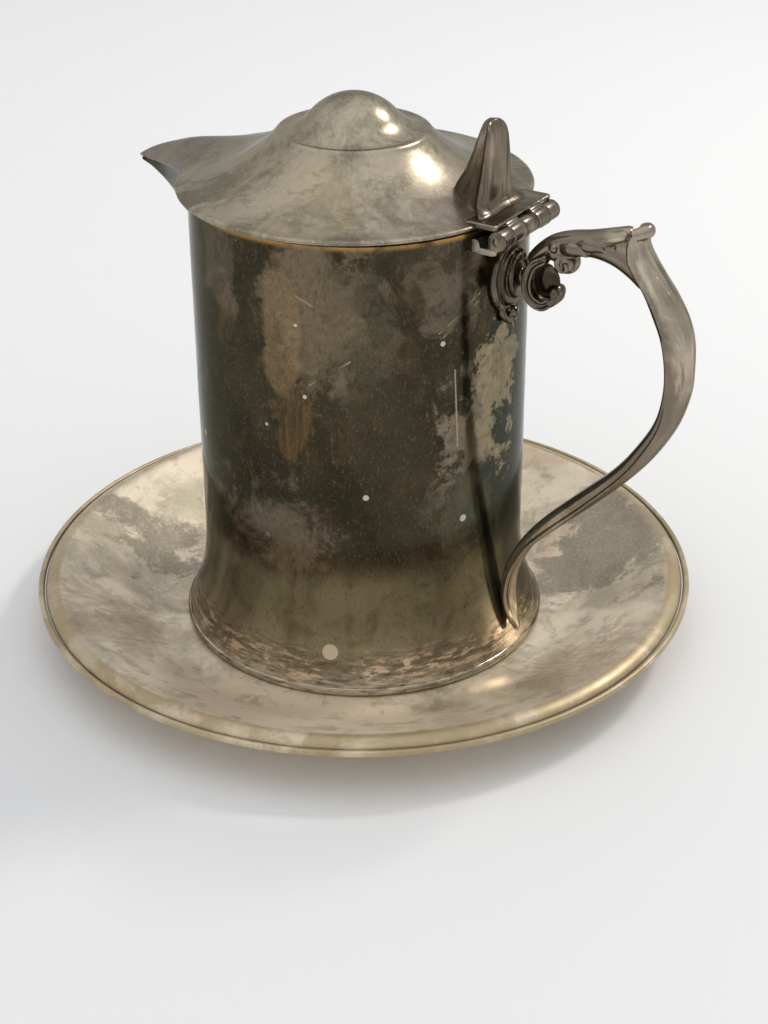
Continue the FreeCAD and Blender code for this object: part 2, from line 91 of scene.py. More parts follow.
THUMB_TOP = span("thumbpiece")[1].z - SEAT
THUMB_BACK = span("thumbpiece")[1].x
KNOB_TOP = span("handle")[1].z - SEAT
PLATE_RADIUS = span("underplate_rim_wire")[1].y
RIM_HIGH = span("underplate_rim_wire")[1].z
RIM_LOW = span("underplate_rim_wire")[0].z
DISH_RADIUS = span("underplate_dish")[1].y

DRUM_RADIUS = 39.6
SHEET = 1.2
FLARE_TOP = 24.0
FLARE_BOW = 49.3
CREASE = 77.0
GROOVE = 80.9


# ---------------------------------------------------------------- outlines and meshes

def arc(start, end, radius, step):
    """Points from start towards end along an arc. A positive radius turns left."""
    start, end = np.array(start, float), np.array(end, float)
    chord = end - start
    half = np.hypot(*chord) / 2
    side = np.array([-chord[1], chord[0]]) / (2 * half)
    rise = math.sqrt(max(radius * radius - half * half, 0))
    centre = (start + end) / 2 + side * math.copysign(rise, radius)
    first = math.atan2(*(start - centre)[::-1])
    sweep = 2 * math.asin(min(half / abs(radius), 1)) * math.copysign(1, radius)
    count = max(int(abs(sweep * radius) / step), 2)
    angles = first + sweep * np.arange(count) / count
    return centre + abs(radius) * np.stack([np.cos(angles), np.sin(angles)], 1)


def trace(corners, step=0.5, closed=True):
    """Even points along corners (x, y[, radius of the arc that leaves it])."""
    points = []
    ends = corners[1:] + corners[:1] if closed else corners[1:]
    for corner, after in zip(corners, ends):
        if len(corner) == 3:
            points.append(arc(corner[:2], after[:2], corner[2], step))
            continue
        start, end = np.array(corner[:2], float), np.array(after[:2], float)
        count = max(int(np.hypot(*(end - start)) / step), 1)
        share = np.arange(count)[:, None] / count
        points.append(start + (end - start) * share)
    if not closed:
        points.append(np.array([corners[-1][:2]], float))
    return np.concatenate(points)


def soften(points, times, closed=True):
    """Round an outline's corners by averaging each point with its neighbours."""
    for _ in range(times):
        mean = (np.roll(points, 1, 0) + 2 * points + np.roll(points, -1, 0)) / 4
        if not closed:
            mean[0], mean[-1] = points[0], points[-1]
        points = mean
    return points


def spline(controls, count):
    """A smooth line through control rows, as count rows."""
    controls = np.array(controls, float)
    if controls.ndim == 1:
        controls = controls[:, None]
    padded = np.vstack([2 * controls[0] - controls[1], controls,
                        2 * controls[-1] - controls[-2]])
    where = np.linspace(0, len(controls) - 1, count)
    cell = np.minimum(where.astype(int), len(controls) - 2)
    share = (where - cell)[:, None]
    before, start, end, after = (padded[cell + k] for k in range(4))
    slope_in, slope_out = (end - before) / 2, (after - start) / 2
    return (start * (2 * share ** 3 - 3 * share ** 2 + 1)
            + slope_in * (share ** 3 - 2 * share ** 2 + share)
            + end * (3 * share ** 2 - 2 * share ** 3)
            + slope_out * (share ** 3 - share ** 2))


def smooth_between(x, places, values):
    """Values at x on a smooth line through (places, values), places rising."""
    line = spline(np.stack([places, values], 1), 400)
    return np.interp(x, line[:, 0], line[:, 1])


def smooth_max(a, b, width):
    """The larger of two heights, blended over about width."""
    share = np.clip(0.5 + (a - b) / (2 * width), 0, 1)
    return b + (a - b) * share + width * share * (1 - share)


def skin(loops, ring=False):
    """Faces and points that join a row of equal closed loops. ring joins last to first,
    otherwise both ends are capped."""
    rows, count = loops.shape[:2]
    index = np.arange(rows * count).reshape(rows, count)
    here = index if ring else index[:-1]
    there = np.roll(index, -1, 0) if ring else index[1:]
    quads = np.stack([here, np.roll(here, -1, 1), np.roll(there, -1, 1), there], -1)
    faces = quads.reshape(-1, 4).tolist()
    points = loops.reshape(-1, 3)
    if not ring:
        middles = np.stack([loops[0].mean(0), loops[-1].mean(0)])
        points = np.vstack([points, middles])
        for loop, middle, turn in ((index[0], rows * count, 1), (index[-1], rows * count + 1, -1)):
            after = np.roll(loop, -1)
            for one, two in zip(loop.tolist(), after.tolist()):
                faces.append([middle, two, one][::turn])
    return points, faces


def full_turn(steps):
    """Even angles once round."""
    return np.arange(steps) * 2 * math.pi / steps


def around(turn, radius, height):
    """Loops of points at (radius, height), one loop for each angle."""
    x, y = np.cos(turn)[:, None] * radius, np.sin(turn)[:, None] * radius
    return np.stack([x, y, np.broadcast_to(height, x.shape)], -1)


def lathe(profile, steps):
    """Turn a closed outline of (radius, height) about the upright axis."""
    return skin(around(full_turn(steps), profile[:, 0], profile[:, 1]), ring=True)


def bar(outline, low_y, high_y, edge=0.25):
    """Stretch an outline of (x, z) along Y, with rounded ends."""
    centre = outline.mean(0)
    reach = np.abs(outline - centre).max()
    near = [(low_y + edge * (1 - math.cos(a)), 1 - edge / reach * (1 - math.sin(a)))
            for a in (0.0, 0.5, 1.0, math.pi / 2)]
    far = [(low_y + high_y - y, size) for y, size in near[::-1]]
    loops = []
    for y, size in near + far:
        flat = centre + (outline - centre) * size
        loops.append(np.stack([flat[:, 0], np.full(len(flat), y), flat[:, 1]], 1))
    return skin(np.array(loops)[:, ::-1])


def merge(*shapes):
    """Several (points, faces) as one."""
    points, faces, first = [], [], 0
    for some_points, some_faces in shapes:
        points.append(some_points)
        faces.extend([[i + first for i in face] for face in some_faces])
        first += len(some_points)
    return np.vstack(points), faces


def add_object(name, data):
    """A new object in the scene."""
    thing = bpy.data.objects.new(name, data)
    bpy.context.scene.collection.objects.link(thing)
    return thing


def make(name, shape, material, body, nodes, lift=None, sharp=40):
    """A piece that stands for CAD nodes. Its shape is in millimetres in the jug's frame."""
    points, faces = shape
    points = np.array(points, float) + (0, 0, SEAT if lift is None else lift)
    mesh = bpy.data.meshes.new(name)
    mesh.from_pydata((points * MM).tolist(), [], faces)
    tidy = bmesh.new()
    tidy.from_mesh(mesh)
    bmesh.ops.remove_doubles(tidy, verts=tidy.verts, dist=1e-6)
    bmesh.ops.recalc_face_normals(tidy, faces=tidy.faces)
    tidy.to_mesh(mesh)
    tidy.free()
    mesh.shade_smooth()
    if sharp:
        mesh.set_sharp_from_angle(angle=math.radians(sharp))
    mesh.materials.append(material)
    piece = add_object(name, mesh)
    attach(piece, body)
    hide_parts(*nodes)
    return piece


def cast(name, shape, material, node, voxel=0.2):
    """A cast piece of the jug, its overlapping forms melted into one skin."""
    piece = make(name, shape, material, "jug", [node], sharp=0)
    remesh = piece.modifiers.new("cast", "REMESH")
    remesh.mode = "VOXEL"
    remesh.voxel_size = voxel * MM
    remesh.use_smooth_shade = True
    smooth = piece.modifiers.new("polish", "SMOOTH")
    smooth.factor = 0.5
    smooth.iterations = 2
    graph = bpy.context.evaluated_depsgraph_get()
    mesh = bpy.data.meshes.new_from_object(piece.evaluated_get(graph))
    piece.modifiers.clear()
    piece.data = mesh
    mesh.shade_smooth()


# ---------------------------------------------------------------- materials

class Nodes:
    """A material's node tree, with short calls for the nodes that this script uses. colour is
    the paint so far, and paint() lays one more coat on it."""

    def __init__(self, name):
        self.material = bpy.data.materials.new(name)
        self.material.use_nodes = True
        self.tree = self.material.node_tree
        self.tree.nodes.clear()
        self.place = self.add("ShaderNodeTexCoord").outputs["Object"]
        self.colour = None

    def add(self, kind, **settings):
        node = self.tree.nodes.new(kind)
        for key, value in settings.items():
            setattr(node, key, value)
        return node

    def put(self, socket, value):
        if isinstance(value, bpy.types.NodeSocket):
            self.tree.links.new(value, socket)
        else:
            socket.default_value = value

    def math(self, operation, result, *values):
        for value in values:
            node = self.add("ShaderNodeMath", operation=operation)
            self.put(node.inputs[0], result)
            self.put(node.inputs[1], value)
            result = node.outputs[0]
        return result

    def plus(self, *values):
        return self.math("ADD", *values)

    def times(self, *values):
        return self.math("MULTIPLY", *values)

    def most(self, *values):
        return self.math("MAXIMUM", *values)

    def vector(self, operation, one, two):
        """A vector sum. DOT_PRODUCT and DISTANCE give a number."""
        node = self.add("ShaderNodeVectorMath", operation=operation)
        self.put(node.inputs[0], one)
        self.put(node.inputs["Scale" if operation == "SCALE" else 1], two)
        return node.outputs["Value" if operation in ("DOT_PRODUCT", "DISTANCE") else "Vector"]

    def axes(self, source=None):
        """The X, Y and Z of a place."""
        split = self.add("ShaderNodeSeparateXYZ")
        self.put(split.inputs[0], source or self.place)
        return split.outputs

    def mapped(self, scale=(1, 1, 1), turn=(0, 0, 0), shift=(0, 0, 0), source=None):
        node = self.add("ShaderNodeMapping")
        self.put(node.inputs["Vector"], source or self.place)
        node.inputs["Scale"].default_value = scale
        node.inputs["Rotation"].default_value = turn
        node.inputs["Location"].default_value = shift
        return node.outputs["Vector"]

    def band(self, value, low, high, out_low=0.0, out_high=1.0):
        """Value rescaled from low..high, held at both ends."""
        node = self.add("ShaderNodeMapRange", interpolation_type="SMOOTHSTEP")
        self.put(node.inputs["Value"], value)
        self.put(node.inputs["From Min"], low)
        self.put(node.inputs["From Max"], high)
        self.put(node.inputs["To Min"], out_low)
        self.put(node.inputs["To Max"], out_high)
        return node.outputs["Result"]

    def clouds(self, size, detail=5.0, rough=0.55, warp=0.0, place=None, seed=0.0):
        """Noise whose blobs are about size millimetres, 0 to 1."""
        node = self.add("ShaderNodeTexNoise", noise_dimensions="4D")
        self.put(node.inputs["Vector"], place or self.place)
        node.inputs["W"].default_value = seed
        node.inputs["Scale"].default_value = 1 / (size * MM)
        node.inputs["Detail"].default_value = detail
        node.inputs["Roughness"].default_value = rough
        node.inputs["Distortion"].default_value = warp
        return node.outputs["Fac"]

    def blend(self, share, one, two):
        node = self.add("ShaderNodeMix", data_type="RGBA")
        self.put(node.inputs["Factor"], share)
        colours = [s for s in node.inputs if s.type == "RGBA"]
        for socket, value in zip(colours, (one, two)):
            self.put(socket, value if isinstance(value, bpy.types.NodeSocket) else (*value, 1))
        return [s for s in node.outputs if s.type == "RGBA"][0]

    def paint(self, mask, tone, strength=1.0):
        """One more coat, of a plain tone, where the mask is 1."""
        if strength < 1:
            mask = self.times(mask, strength)
        self.colour = self.blend(mask, self.colour, tone)

    def patch(self, point, reach, soft, tall=1.0, ragged=0.0, grain=8.0, seed=0.0):
        """1 within reach millimetres of a point, tall times as far up and down, with an
        edge that fades over soft and wanders by ragged."""
        place = self.mapped(scale=(1, 1, 1 / tall))
        centre = [c * MM for c in (point[0], point[1], point[2] / tall)]
        away = self.vector("DISTANCE", place, centre)
        if ragged:
            clouds = self.clouds(grain, 9, 0.72, 0.4, seed=seed)
            away = self.plus(away, self.band(clouds, 0.34, 0.66, -ragged * MM, ragged * MM))
        return self.band(away, (reach - soft) * MM, (reach + soft) * MM, 1.0, 0.0)

    def stroke(self, start, end, width):
        """1 along a straight mark between two points, 0 beyond its width."""
        start, end = Vector(start) * MM, Vector(end) * MM
        length = (end - start).length
        way = (end - start) / length
        from_start = self.vector("SUBTRACT", self.place, start)
        along = self.math("MINIMUM", self.vector("DOT_PRODUCT", from_start, way), length)
        along = self.most(along, 0.0)
        beside = self.vector("DISTANCE", from_start, self.vector("SCALE", way, along))
        return self.band(beside, 0.3 * width * MM, width * MM, 1.0, 0.0)

    def scratches(self, turn, length, width, seed):
        """Fine straight marks that run along one tilted direction."""
        place = self.mapped(scale=(1 / width, 1 / length, 1 / length), turn=turn)
        return self.band(self.clouds(1, 1, 0.5, place=place, seed=seed), 0.72, 0.76)

    def height(self, low, high):
        """0 at height low to 1 at height high, in millimetres."""
        return self.band(self.axes()["Z"], low * MM, high * MM)

    def round_place(self, centre_x=0.0):
        """Turn the place into (angle, radius, height), for marks that follow a lathe. The
        angle is a length, as it is 40 mm from the middle."""
        across, along, up = self.axes(self.mapped(shift=(-centre_x * MM, 0, 0)))
        angle = self.math("ARCTAN2", along, across)
        square = self.plus(self.times(across, across), self.times(along, along))
        join = self.add("ShaderNodeCombineXYZ")
        self.put(join.inputs["X"], self.times(angle, 40 * MM))
        self.put(join.inputs["Y"], self.math("SQRT", square, 0.0))
        self.put(join.inputs["Z"], up)
        return join.outputs[0]

    def spots(self, spacing, size, share, seed, hollow=True):
        """Rings or discs about size millimetres across in some of the cells of a random grid."""
        cell = self.add("ShaderNodeTexVoronoi", voronoi_dimensions="4D", feature="F1")
        self.put(cell.inputs["Vector"], self.place)
        cell.inputs["W"].default_value = seed
        cell.inputs["Scale"].default_value = 1 / (spacing * MM)
        draw = self.axes(cell.outputs["Color"])
        reach = cell.outputs["Distance"]
        radius = self.times(draw["Y"], size / spacing)
        disc = self.band(self.math("SUBTRACT", reach, radius), -0.012, 0.012, 1.0, 0.0)
        disc = self.times(disc, self.band(draw["X"], 1 - share, 1 - share + 0.01))
        if not hollow:
            return disc
        core = self.math("SUBTRACT", reach, self.times(radius, 0.62))
        return self.times(disc, self.band(core, -0.02, 0.02))

    def relief(self, size, waves, fine, pits):
        """Bump height: soft waves about size millimetres long, and fine grain."""
        return self.plus(self.times(self.clouds(size, 3, seed=20.0), waves),
                         self.times(fine, pits))

    def finish(self, rough, bump, depth, edge, metal):
        """Metal shader with a bump from bump, depth in millimetres. edge tints the
        reflection at a glancing angle, and metal below 1 dulls it with tarnish."""
        shader = self.add("ShaderNodeBsdfPrincipled")
        self.put(shader.inputs["Base Color"], self.colour)
        self.put(shader.inputs["Roughness"], rough)
        shader.inputs["Metallic"].default_value = metal
        shader.inputs["Specular Tint"].default_value = (edge, edge, edge * 0.96, 1)
        relief = self.add("ShaderNodeBump")
        relief.inputs["Strength"].default_value = 1.0
        relief.inputs["Distance"].default_value = depth * MM
        self.put(relief.inputs["Height"], bump)
        self.put(shader.inputs["Normal"], relief.outputs["Normal"])
        out = self.add("ShaderNodeOutputMaterial")
        self.tree.links.new(shader.outputs[0], out.inputs["Surface"])
        return self.material


# hazes: point, reach, softness, height over width, raggedness, colour, strength
HAZES = [
    ((12.5, -37.9, 98.0), 10.5, 3.0, 1.7, 4.5, (0.235, 0.180, 0.112), 0.80),
    ((5.0, -39.3, 92.0), 4.2, 0.7, 3.6, 1.2, (0.300, 0.200, 0.105), 0.60),
    ((24.0, -31.5, 94.0), 6.0, 3.0, 2.0, 5.0, (0.130, 0.108, 0.070), 0.60),
    ((35.6, -17.4, 99.0), 6.5, 3.0, 1.5, 5.0, (0.170, 0.140, 0.100), 0.75),
    ((39.3, -3.0, 72.0), 5.5, 1.2, 2.6, 6.0, (0.360, 0.290, 0.175), 0.85),
    ((37.2, -13.5, 64.0), 5.5, 2.0, 1.7, 6.0, (0.280, 0.225, 0.155), 0.80),
    ((-12.8, -37.5, 105.0), 6.2, 0.8, 1.6, 1.4, (0.115, 0.094, 0.062), 0.80),
    ((3.0, -39.4, 42.0), 11.0, 4.0, 0.9, 6.0, (0.225, 0.180, 0.125), 0.75),
    ((36.6, -15.0, 42.0), 7.0, 4.0, 1.6, 6.0, (0.105, 0.102, 0.066), 0.70),
    ((-22.0, -33.0, 44.0), 5.0, 2.0, 1.3, 6.0, (0.120, 0.105, 0.070), 0.60),
    ((-30.0, 26.0, 60.0), 13.0, 5.0, 1.6, 7.0, (0.150, 0.120, 0.080), 0.60),
    ((8.0, 39.0, 76.0), 12.0, 5.0, 1.8, 7.0, (0.190, 0.150, 0.100), 0.65),
]
# dried drops: point, radius
DROPS = [
    ((15.7, -38.5, 11.3), 1.9), ((31.2, -28.9, 8.5), 0.9), ((34.6, -19.3, 88.4), 0.6),
    ((22.5, -32.6, 52.3), 0.7), ((37.1, -13.7, 42.5), 0.9), ((10.3, -38.2, 77.0), 0.5),
    ((-23.6, -31.8, 56.4), 0.6), ((0.5, -39.6, 68.3), 0.4), ((8.6, -38.7, 94.0), 0.4),
]
# long scratches: start, end, width
SCRATCHES = [
    ((11.5, -37.9, 80.1), (19.9, -34.3, 86.3), 0.28), ((36.0, -16.4, 81.3), (36.5, -15.5, 62.0), 0.30),
    ((34.0, -20.2, 91.0), (38.3, -10.0, 98.0), 0.22), ((34.6, -19.2, 90.0), (38.2, -10.5, 96.2), 0.20),
    ((35.2, -18.2, 92.4), (38.0, -11.4, 97.4), 0.16), ((8.6, -38.7, 101.0), (12.4, -37.6, 99.0), 0.20),
    ((-20.0, 34.2, 90.0), (-8.0, 38.8, 82.0), 0.22),
]


def drum_tarnish(n, edge):
    """Olive-black tarnish with hazes, a thin veil and brownish brushed streaks."""
    large = n.clouds(36, 5, 0.6, 0.5, place=n.mapped(scale=(1, 1, 0.5)), seed=3.1)
    n.colour = n.blend(n.band(large, 0.40, 0.62), (0.030, 0.026, 0.0135), (0.060, 0.050, 0.029))
    n.paint(n.patch((38.4, 4, 52), 16, 9, 2.2, 4.0, 14, 8.0), (0.038, 0.047, 0.040), 0.75)
    fine = n.clouds(1.6, 7, 0.72, seed=2.0)
    veined = n.band(edge, 0.34, 0.54, 0.65, 1.0)
    for number, (point, reach, soft, tall, ragged, tone, strength) in enumerate(HAZES):
        haze = n.patch(point, reach, soft, tall, ragged, 9, 30.0 + number)
        speckle = n.band(fine, 0.30, 0.60, 0.50 * strength, strength)
        n.paint(n.times(haze, speckle, veined), tone)
    veil = n.times(n.band(edge, 0.52, 0.64), n.band(n.clouds(42, 2, seed=5.0), 0.44, 0.60))
    n.paint(veil, (0.190, 0.155, 0.105), 0.55)
    streak = n.clouds(0.55, 4, 0.7, place=n.mapped(scale=(1, 1, 0.05)), seed=4.0)
    brushed = n.most(n.patch((7.7, -38.8, 69.0), 4.2, 1.0, 2.2, 2.5, 8, 50.0),
                     n.band(edge, 0.5, 0.6, 0, 0.30))
    n.paint(n.times(n.band(streak, 0.40, 0.62, 0.25, 1.0), brushed), (0.165, 0.098, 0.042), 0.75)


def drum_flare_plate_reflection(n, edge):
    """Painted reflection of the plate: lighter metal down the flare."""
    veined = n.band(edge, 0.36, 0.56, 0.55, 1.0)
    n.paint(n.times(n.height(35, 26), 0.85, veined), (0.205, 0.192, 0.128))
    n.paint(n.times(n.height(22, 6), 0.75, veined), (0.330, 0.300, 0.215))


def drum_wear_and_reflections(n):
    """Gold tint under the mouth's edge, a painted highlight, and round the foot streaks that are
    partly pinkish wear and partly the plate's painted reflection.
    """
    # painted highlight: a gold tint under the mouth's edge
    gold = n.times(n.height(111.4, 113.0), n.band(n.clouds(14, 6, 0.6, seed=11.0), 0.44, 0.54))
    n.paint(gold, (0.52, 0.29, 0.085), 0.9)
    lathed = n.mapped(scale=(0.26, 1, 1), source=n.round_place())
    low = n.clouds(1.2, 7, 0.74, 0.3, place=lathed, seed=9.0)
    patchy = n.clouds(13, 5, 0.65, 0.6, seed=13.0)
    # round the foot, lighter, pinkish and dark streaks: wear mixed with a painted reflection of the
    # plate
    n.paint(n.height(15, 6), (0.170, 0.135, 0.105), 0.5)
    worn = n.times(n.height(14, 5), n.band(low, 0.50, 0.56), n.band(patchy, 0.42, 0.52, 0.25, 1.0))
    n.paint(worn, (0.82, 0.62, 0.47), 0.9)
    n.paint(n.times(n.height(20, 8), n.band(low, 0.46, 0.36, 0, 0.7)), (0.075, 0.062, 0.042))
    n.paint(n.times(n.height(7.5, 4), n.band(low, 0.36, 0.56)), (0.50, 0.43, 0.32), 0.7)


def drum_silver():
    """Glossy drum: tarnish, hazes, the plate's painted reflection down the flare, fine upright grain,
    wear, a painted highlight under the mouth, rings, drops and scratches.
    """
    n = Nodes("body_silver")
    edge = n.clouds(9, 9, 0.68, 0.9, seed=1.7)
    drum_tarnish(n, edge)
    # painted reflection of the plate, lighter down the flare
    drum_flare_plate_reflection(n, edge)
    grain = n.clouds(0.5, 3, 0.7, place=n.mapped(scale=(1, 1, 0.45)), seed=6.0)
    n.paint(n.band(grain, 0.54, 0.72, 0, 0.45), (0.230, 0.195, 0.138))
    n.paint(n.band(grain, 0.46, 0.28, 0, 0.60), (0.020, 0.017, 0.010))
    drum_wear_and_reflections(n)
    n.paint(n.spots(12, 1.9, 0.16, 1.0), (0.30, 0.28, 0.23), 0.6)
    n.paint(n.spots(6, 0.8, 0.10, 7.0, hollow=False), (0.42, 0.37, 0.29), 0.8)
    drops = n.most(*[n.patch(point, radius, 0.1) for point, radius in DROPS])
    n.paint(drops, (0.66, 0.55, 0.42))
    light = n.times(n.scratches((0.5, 0.3, 0.9), 14, 0.16, 1.0),
                    n.band(n.clouds(16, 2, seed=15.0), 0.50, 0.60), 0.5)
    marks = n.most(light, *[n.stroke(*scratch) for scratch in SCRATCHES])
    n.paint(marks, (0.40, 0.35, 0.25), 0.75)
    rough = n.plus(n.band(edge, 0.40, 0.62, 0.10, 0.20), n.band(grain, 0.5, 0.8, 0, 0.10),
                   n.times(drops, 0.3))
    relief = n.math("SUBTRACT", n.relief(9, 0.5, grain, 0.04), n.times(marks, 0.05))
    return n.finish(rough, relief, 0.12, edge=0.6, metal=0.9)


def plate_silver():
    """Champagne satin plate with grey clouds, painted light over its front, pinkish combed wipes and a
    golden brim.
    """
    n = Nodes("plate_silver")
    polar = n.round_place()
    clouds = n.clouds(26, 6, 0.65, 0.7, seed=1.0)
    n.colour = n.blend(n.band(clouds, 0.38, 0.60), (0.45, 0.39, 0.28), (0.84, 0.72, 0.54))
    blush = n.clouds(22, 5, 0.65, 0.5, seed=19.0)
    n.paint(n.band(blush, 0.50, 0.62, 0, 0.65), (0.62, 0.440, 0.300))
    soot = n.most(n.patch((-56, -8, 8), 14, 3, 1.0, 12, 16, 21.0),
                  n.patch((46, 44, 8), 20, 3, 1.0, 12, 16, 24.0))
    n.paint(soot, (0.225, 0.190, 0.135), 0.8)
    # painted light: a pale patch that brightens the front of the plate
    n.paint(n.patch((22, -62, 8), 40, 12, 1.0, 14, 14, 25.0), (0.97, 0.81, 0.61), 0.8)
    comb = n.clouds(0.8, 4, 0.7, place=n.mapped(scale=(1, 0.04, 0.4), source=polar), seed=13.0)
    sides = n.most(n.patch((-42, -54, 9), 17, 2, 1.0, 7, 12, 22.0),
                   n.patch((67, -4, 9), 15, 2, 1.0, 7, 12, 23.0), n.band(blush, 0.40, 0.34, 0, 0.5))
    n.paint(n.times(n.band(comb, 0.40, 0.60, 0.35, 1.0), sides), (0.45, 0.300, 0.195), 0.65)
    grain = n.clouds(0.8, 4, 0.75, seed=5.0)
    n.paint(n.band(grain, 0.40, 0.75, 0, 0.35), (0.80, 0.73, 0.58))
    dirt = n.clouds(9.0, 8, 0.70, 0.5, seed=6.0)
    n.paint(n.band(dirt, 0.50, 0.62, 0, 0.50), (0.28, 0.230, 0.160))
    n.paint(n.spots(9, 1.8, 0.14, 2.0), (0.76, 0.68, 0.54), 0.5)
    radius = n.axes(polar)["Y"]
    brim = n.band(radius, (CREASE - 0.5) * MM, (CREASE + 0.6) * MM)
    n.paint(n.times(brim, n.band(blush, 0.42, 0.58, 0.45, 0.9)), (0.40, 0.305, 0.165))
    from_groove = n.math("ABSOLUTE", n.math("SUBTRACT", radius, GROOVE * MM), 0.0)
    n.paint(n.band(from_groove, 0.1 * MM, 0.45 * MM, 1.0, 0.0), (0.10, 0.078, 0.045), 0.7)
    rough = n.plus(n.band(clouds, 0.3, 0.7, 0.42, 0.30), n.band(grain, 0.4, 0.8, 0, 0.08))
    return n.finish(rough, n.relief(12, 0.6, grain, 0.04), 0.10, edge=0.8, metal=0.42)


def lid_silver():
    """Warm khaki satin lid with fine speckle, small rings and pinkish wear at the hinge."""
    n = Nodes("lid_silver")
    clouds = n.clouds(20, 7, 0.68, 0.8, seed=2.0)
    n.colour = n.blend(n.band(clouds, 0.40, 0.58), (0.225, 0.196, 0.138), (0.440, 0.380, 0.280))
    gold = n.clouds(36, 3, 0.5, seed=9.0)
    n.paint(n.band(gold, 0.50, 0.64, 0, 0.5), (0.43, 0.350, 0.205))
    fine = n.clouds(1.1, 5, 0.8, seed=4.0)
    n.paint(n.band(fine, 0.46, 0.74, 0, 0.5), (0.56, 0.50, 0.40))
    n.paint(n.band(fine, 0.44, 0.30, 0, 0.4), (0.150, 0.125, 0.085))
    mottle = n.clouds(5, 8, 0.74, 0.6, seed=12.0)
    n.paint(n.band(mottle, 0.52, 0.62, 0, 0.45), (0.165, 0.142, 0.098))
    lathed = n.mapped(scale=(1, 0.12, 0.4), source=n.round_place(LID_X))
    wipe = n.clouds(3, 4, 0.7, place=lathed, seed=6.0)
    n.paint(n.band(wipe, 0.54, 0.70, 0, 0.4), (0.56, 0.49, 0.37))
    n.paint(n.spots(7, 1.8, 0.20, 3.0), (0.66, 0.60, 0.49), 0.4)
    worn = n.times(n.patch((37, -3, 117), 14, 8, 1.0, 3.0, 8, 40.0),
                   n.band(wipe, 0.40, 0.60, 0.3, 1.0))
    n.paint(worn, (0.46, 0.350, 0.300), 0.6)
    n.paint(n.patch((-52, 0, 113), 17, 7, 1.0, 3.0, 7, 44.0), (0.235, 0.200, 0.190), 0.5)
    rough = n.plus(n.band(clouds, 0.3, 0.7, 0.29, 0.20), n.band(fine, 0.4, 0.8, 0, 0.08))
    return n.finish(rough, n.relief(10, 0.5, fine, 0.05), 0.10, edge=0.6, metal=0.9)


def cast_silver(name, mid, bright, dark, painted_shade=()):
    """Cast and polished metal: worn bright on its crests, painted shade dark in its recesses and
    painted highlight and shade streaks along it.
    The last argument lists spots of painted shade as (point, reach, softness, colour)."""
    n = Nodes(name)
    shade, deep = [[part * c for c in mid] for part in (0.70, 0.30)]
    clouds = n.clouds(12, 5, 0.6, 0.5, seed=2.0)
    n.colour = n.blend(n.band(clouds, 0.35, 0.65), mid, shade)
    pink = n.clouds(9, 4, 0.6, seed=8.0)
    n.paint(n.band(pink, 0.55, 0.70, 0, 0.4), (0.42, 0.300, 0.225))
    crest = n.add("ShaderNodeNewGeometry").outputs["Pointiness"]
    fine = n.clouds(0.7, 4, 0.75, seed=5.0)
    edge = n.plus(crest, n.band(fine, 0.3, 0.7, -0.02, 0.02))
    # painted shade: dark where pointiness finds a recess, with the crests worn bright below
    n.paint(n.band(edge, 0.49, 0.40), dark)
    n.paint(n.band(edge, 0.53, 0.62, 0, 0.8), bright)
    # painted highlight and dark reflection streaks that run along the piece
    streak = n.clouds(1.4, 5, 0.65, 0.3, place=n.mapped(scale=(0.09, 1, 0.09)), seed=3.0)
    n.paint(n.band(streak, 0.54, 0.68, 0, 0.45), bright)
    n.paint(n.band(streak, 0.49, 0.38, 0, 0.75), deep)
    # spots of painted shade
    for point, reach, soft, tone in painted_shade:
        n.paint(n.patch(point, reach, soft, 1.0, 0.6 * soft, 4, reach), tone, 0.8)
    rough = n.plus(n.band(clouds, 0.3, 0.7, 0.15, 0.24), n.band(fine, 0.4, 0.8, 0, 0.07))
    return n.finish(rough, n.relief(3.5, 0.6, fine, 0.10), 0.11, edge=0.4, metal=0.9)


RECESS = (0.030, 0.022, 0.014)
RECESS_SHADE = (0.050, 0.038, 0.026)
BODY = drum_silver()
PLATE = plate_silver()
LID = lid_silver()
# spots of painted shade: along the grip's inner edge and down its lower half
CAST = cast_silver("cast_silver", (0.520, 0.445, 0.335), (0.90, 0.80, 0.65), RECESS_SHADE, [
    ((48, 0, 84), 34.5, 1.2, (0.205, 0.165, 0.125)), ((66, 0, 55), 12, 3, (0.230, 0.190, 0.140)),
    ((79, 0, 70), 13, 4, (0.215, 0.175, 0.128)),
])
# a spot of painted shade darkens the thin web inside the C-scroll
ORNAMENT = cast_silver("ornament_silver", (0.190, 0.155, 0.115), (0.54, 0.46, 0.36), RECESS,
                       [((49.7, 0, 100.0), 3.0, 0.75, RECESS)])
FIN = cast_silver("fin_silver", (0.230, 0.190, 0.140), (0.52, 0.45, 0.35), RECESS_SHADE)
HINGE = cast_silver("hinge_silver", (0.300, 0.255, 0.195), (0.60, 0.54, 0.44), RECESS_SHADE)
PIN = cast_silver("pin_metal", (0.36, 0.31, 0.23), (0.60, 0.54, 0.44), (0.06, 0.045, 0.03))


# ---------------------------------------------------------------- underplate

WELL_RADIUS = 49.0
COVE = 18.0
COVE_SLOPE = math.radians(28)
BRIM_HIGH = 12.1
PLATE_GAUGE = 1.2
PLATE_STEPS = 300


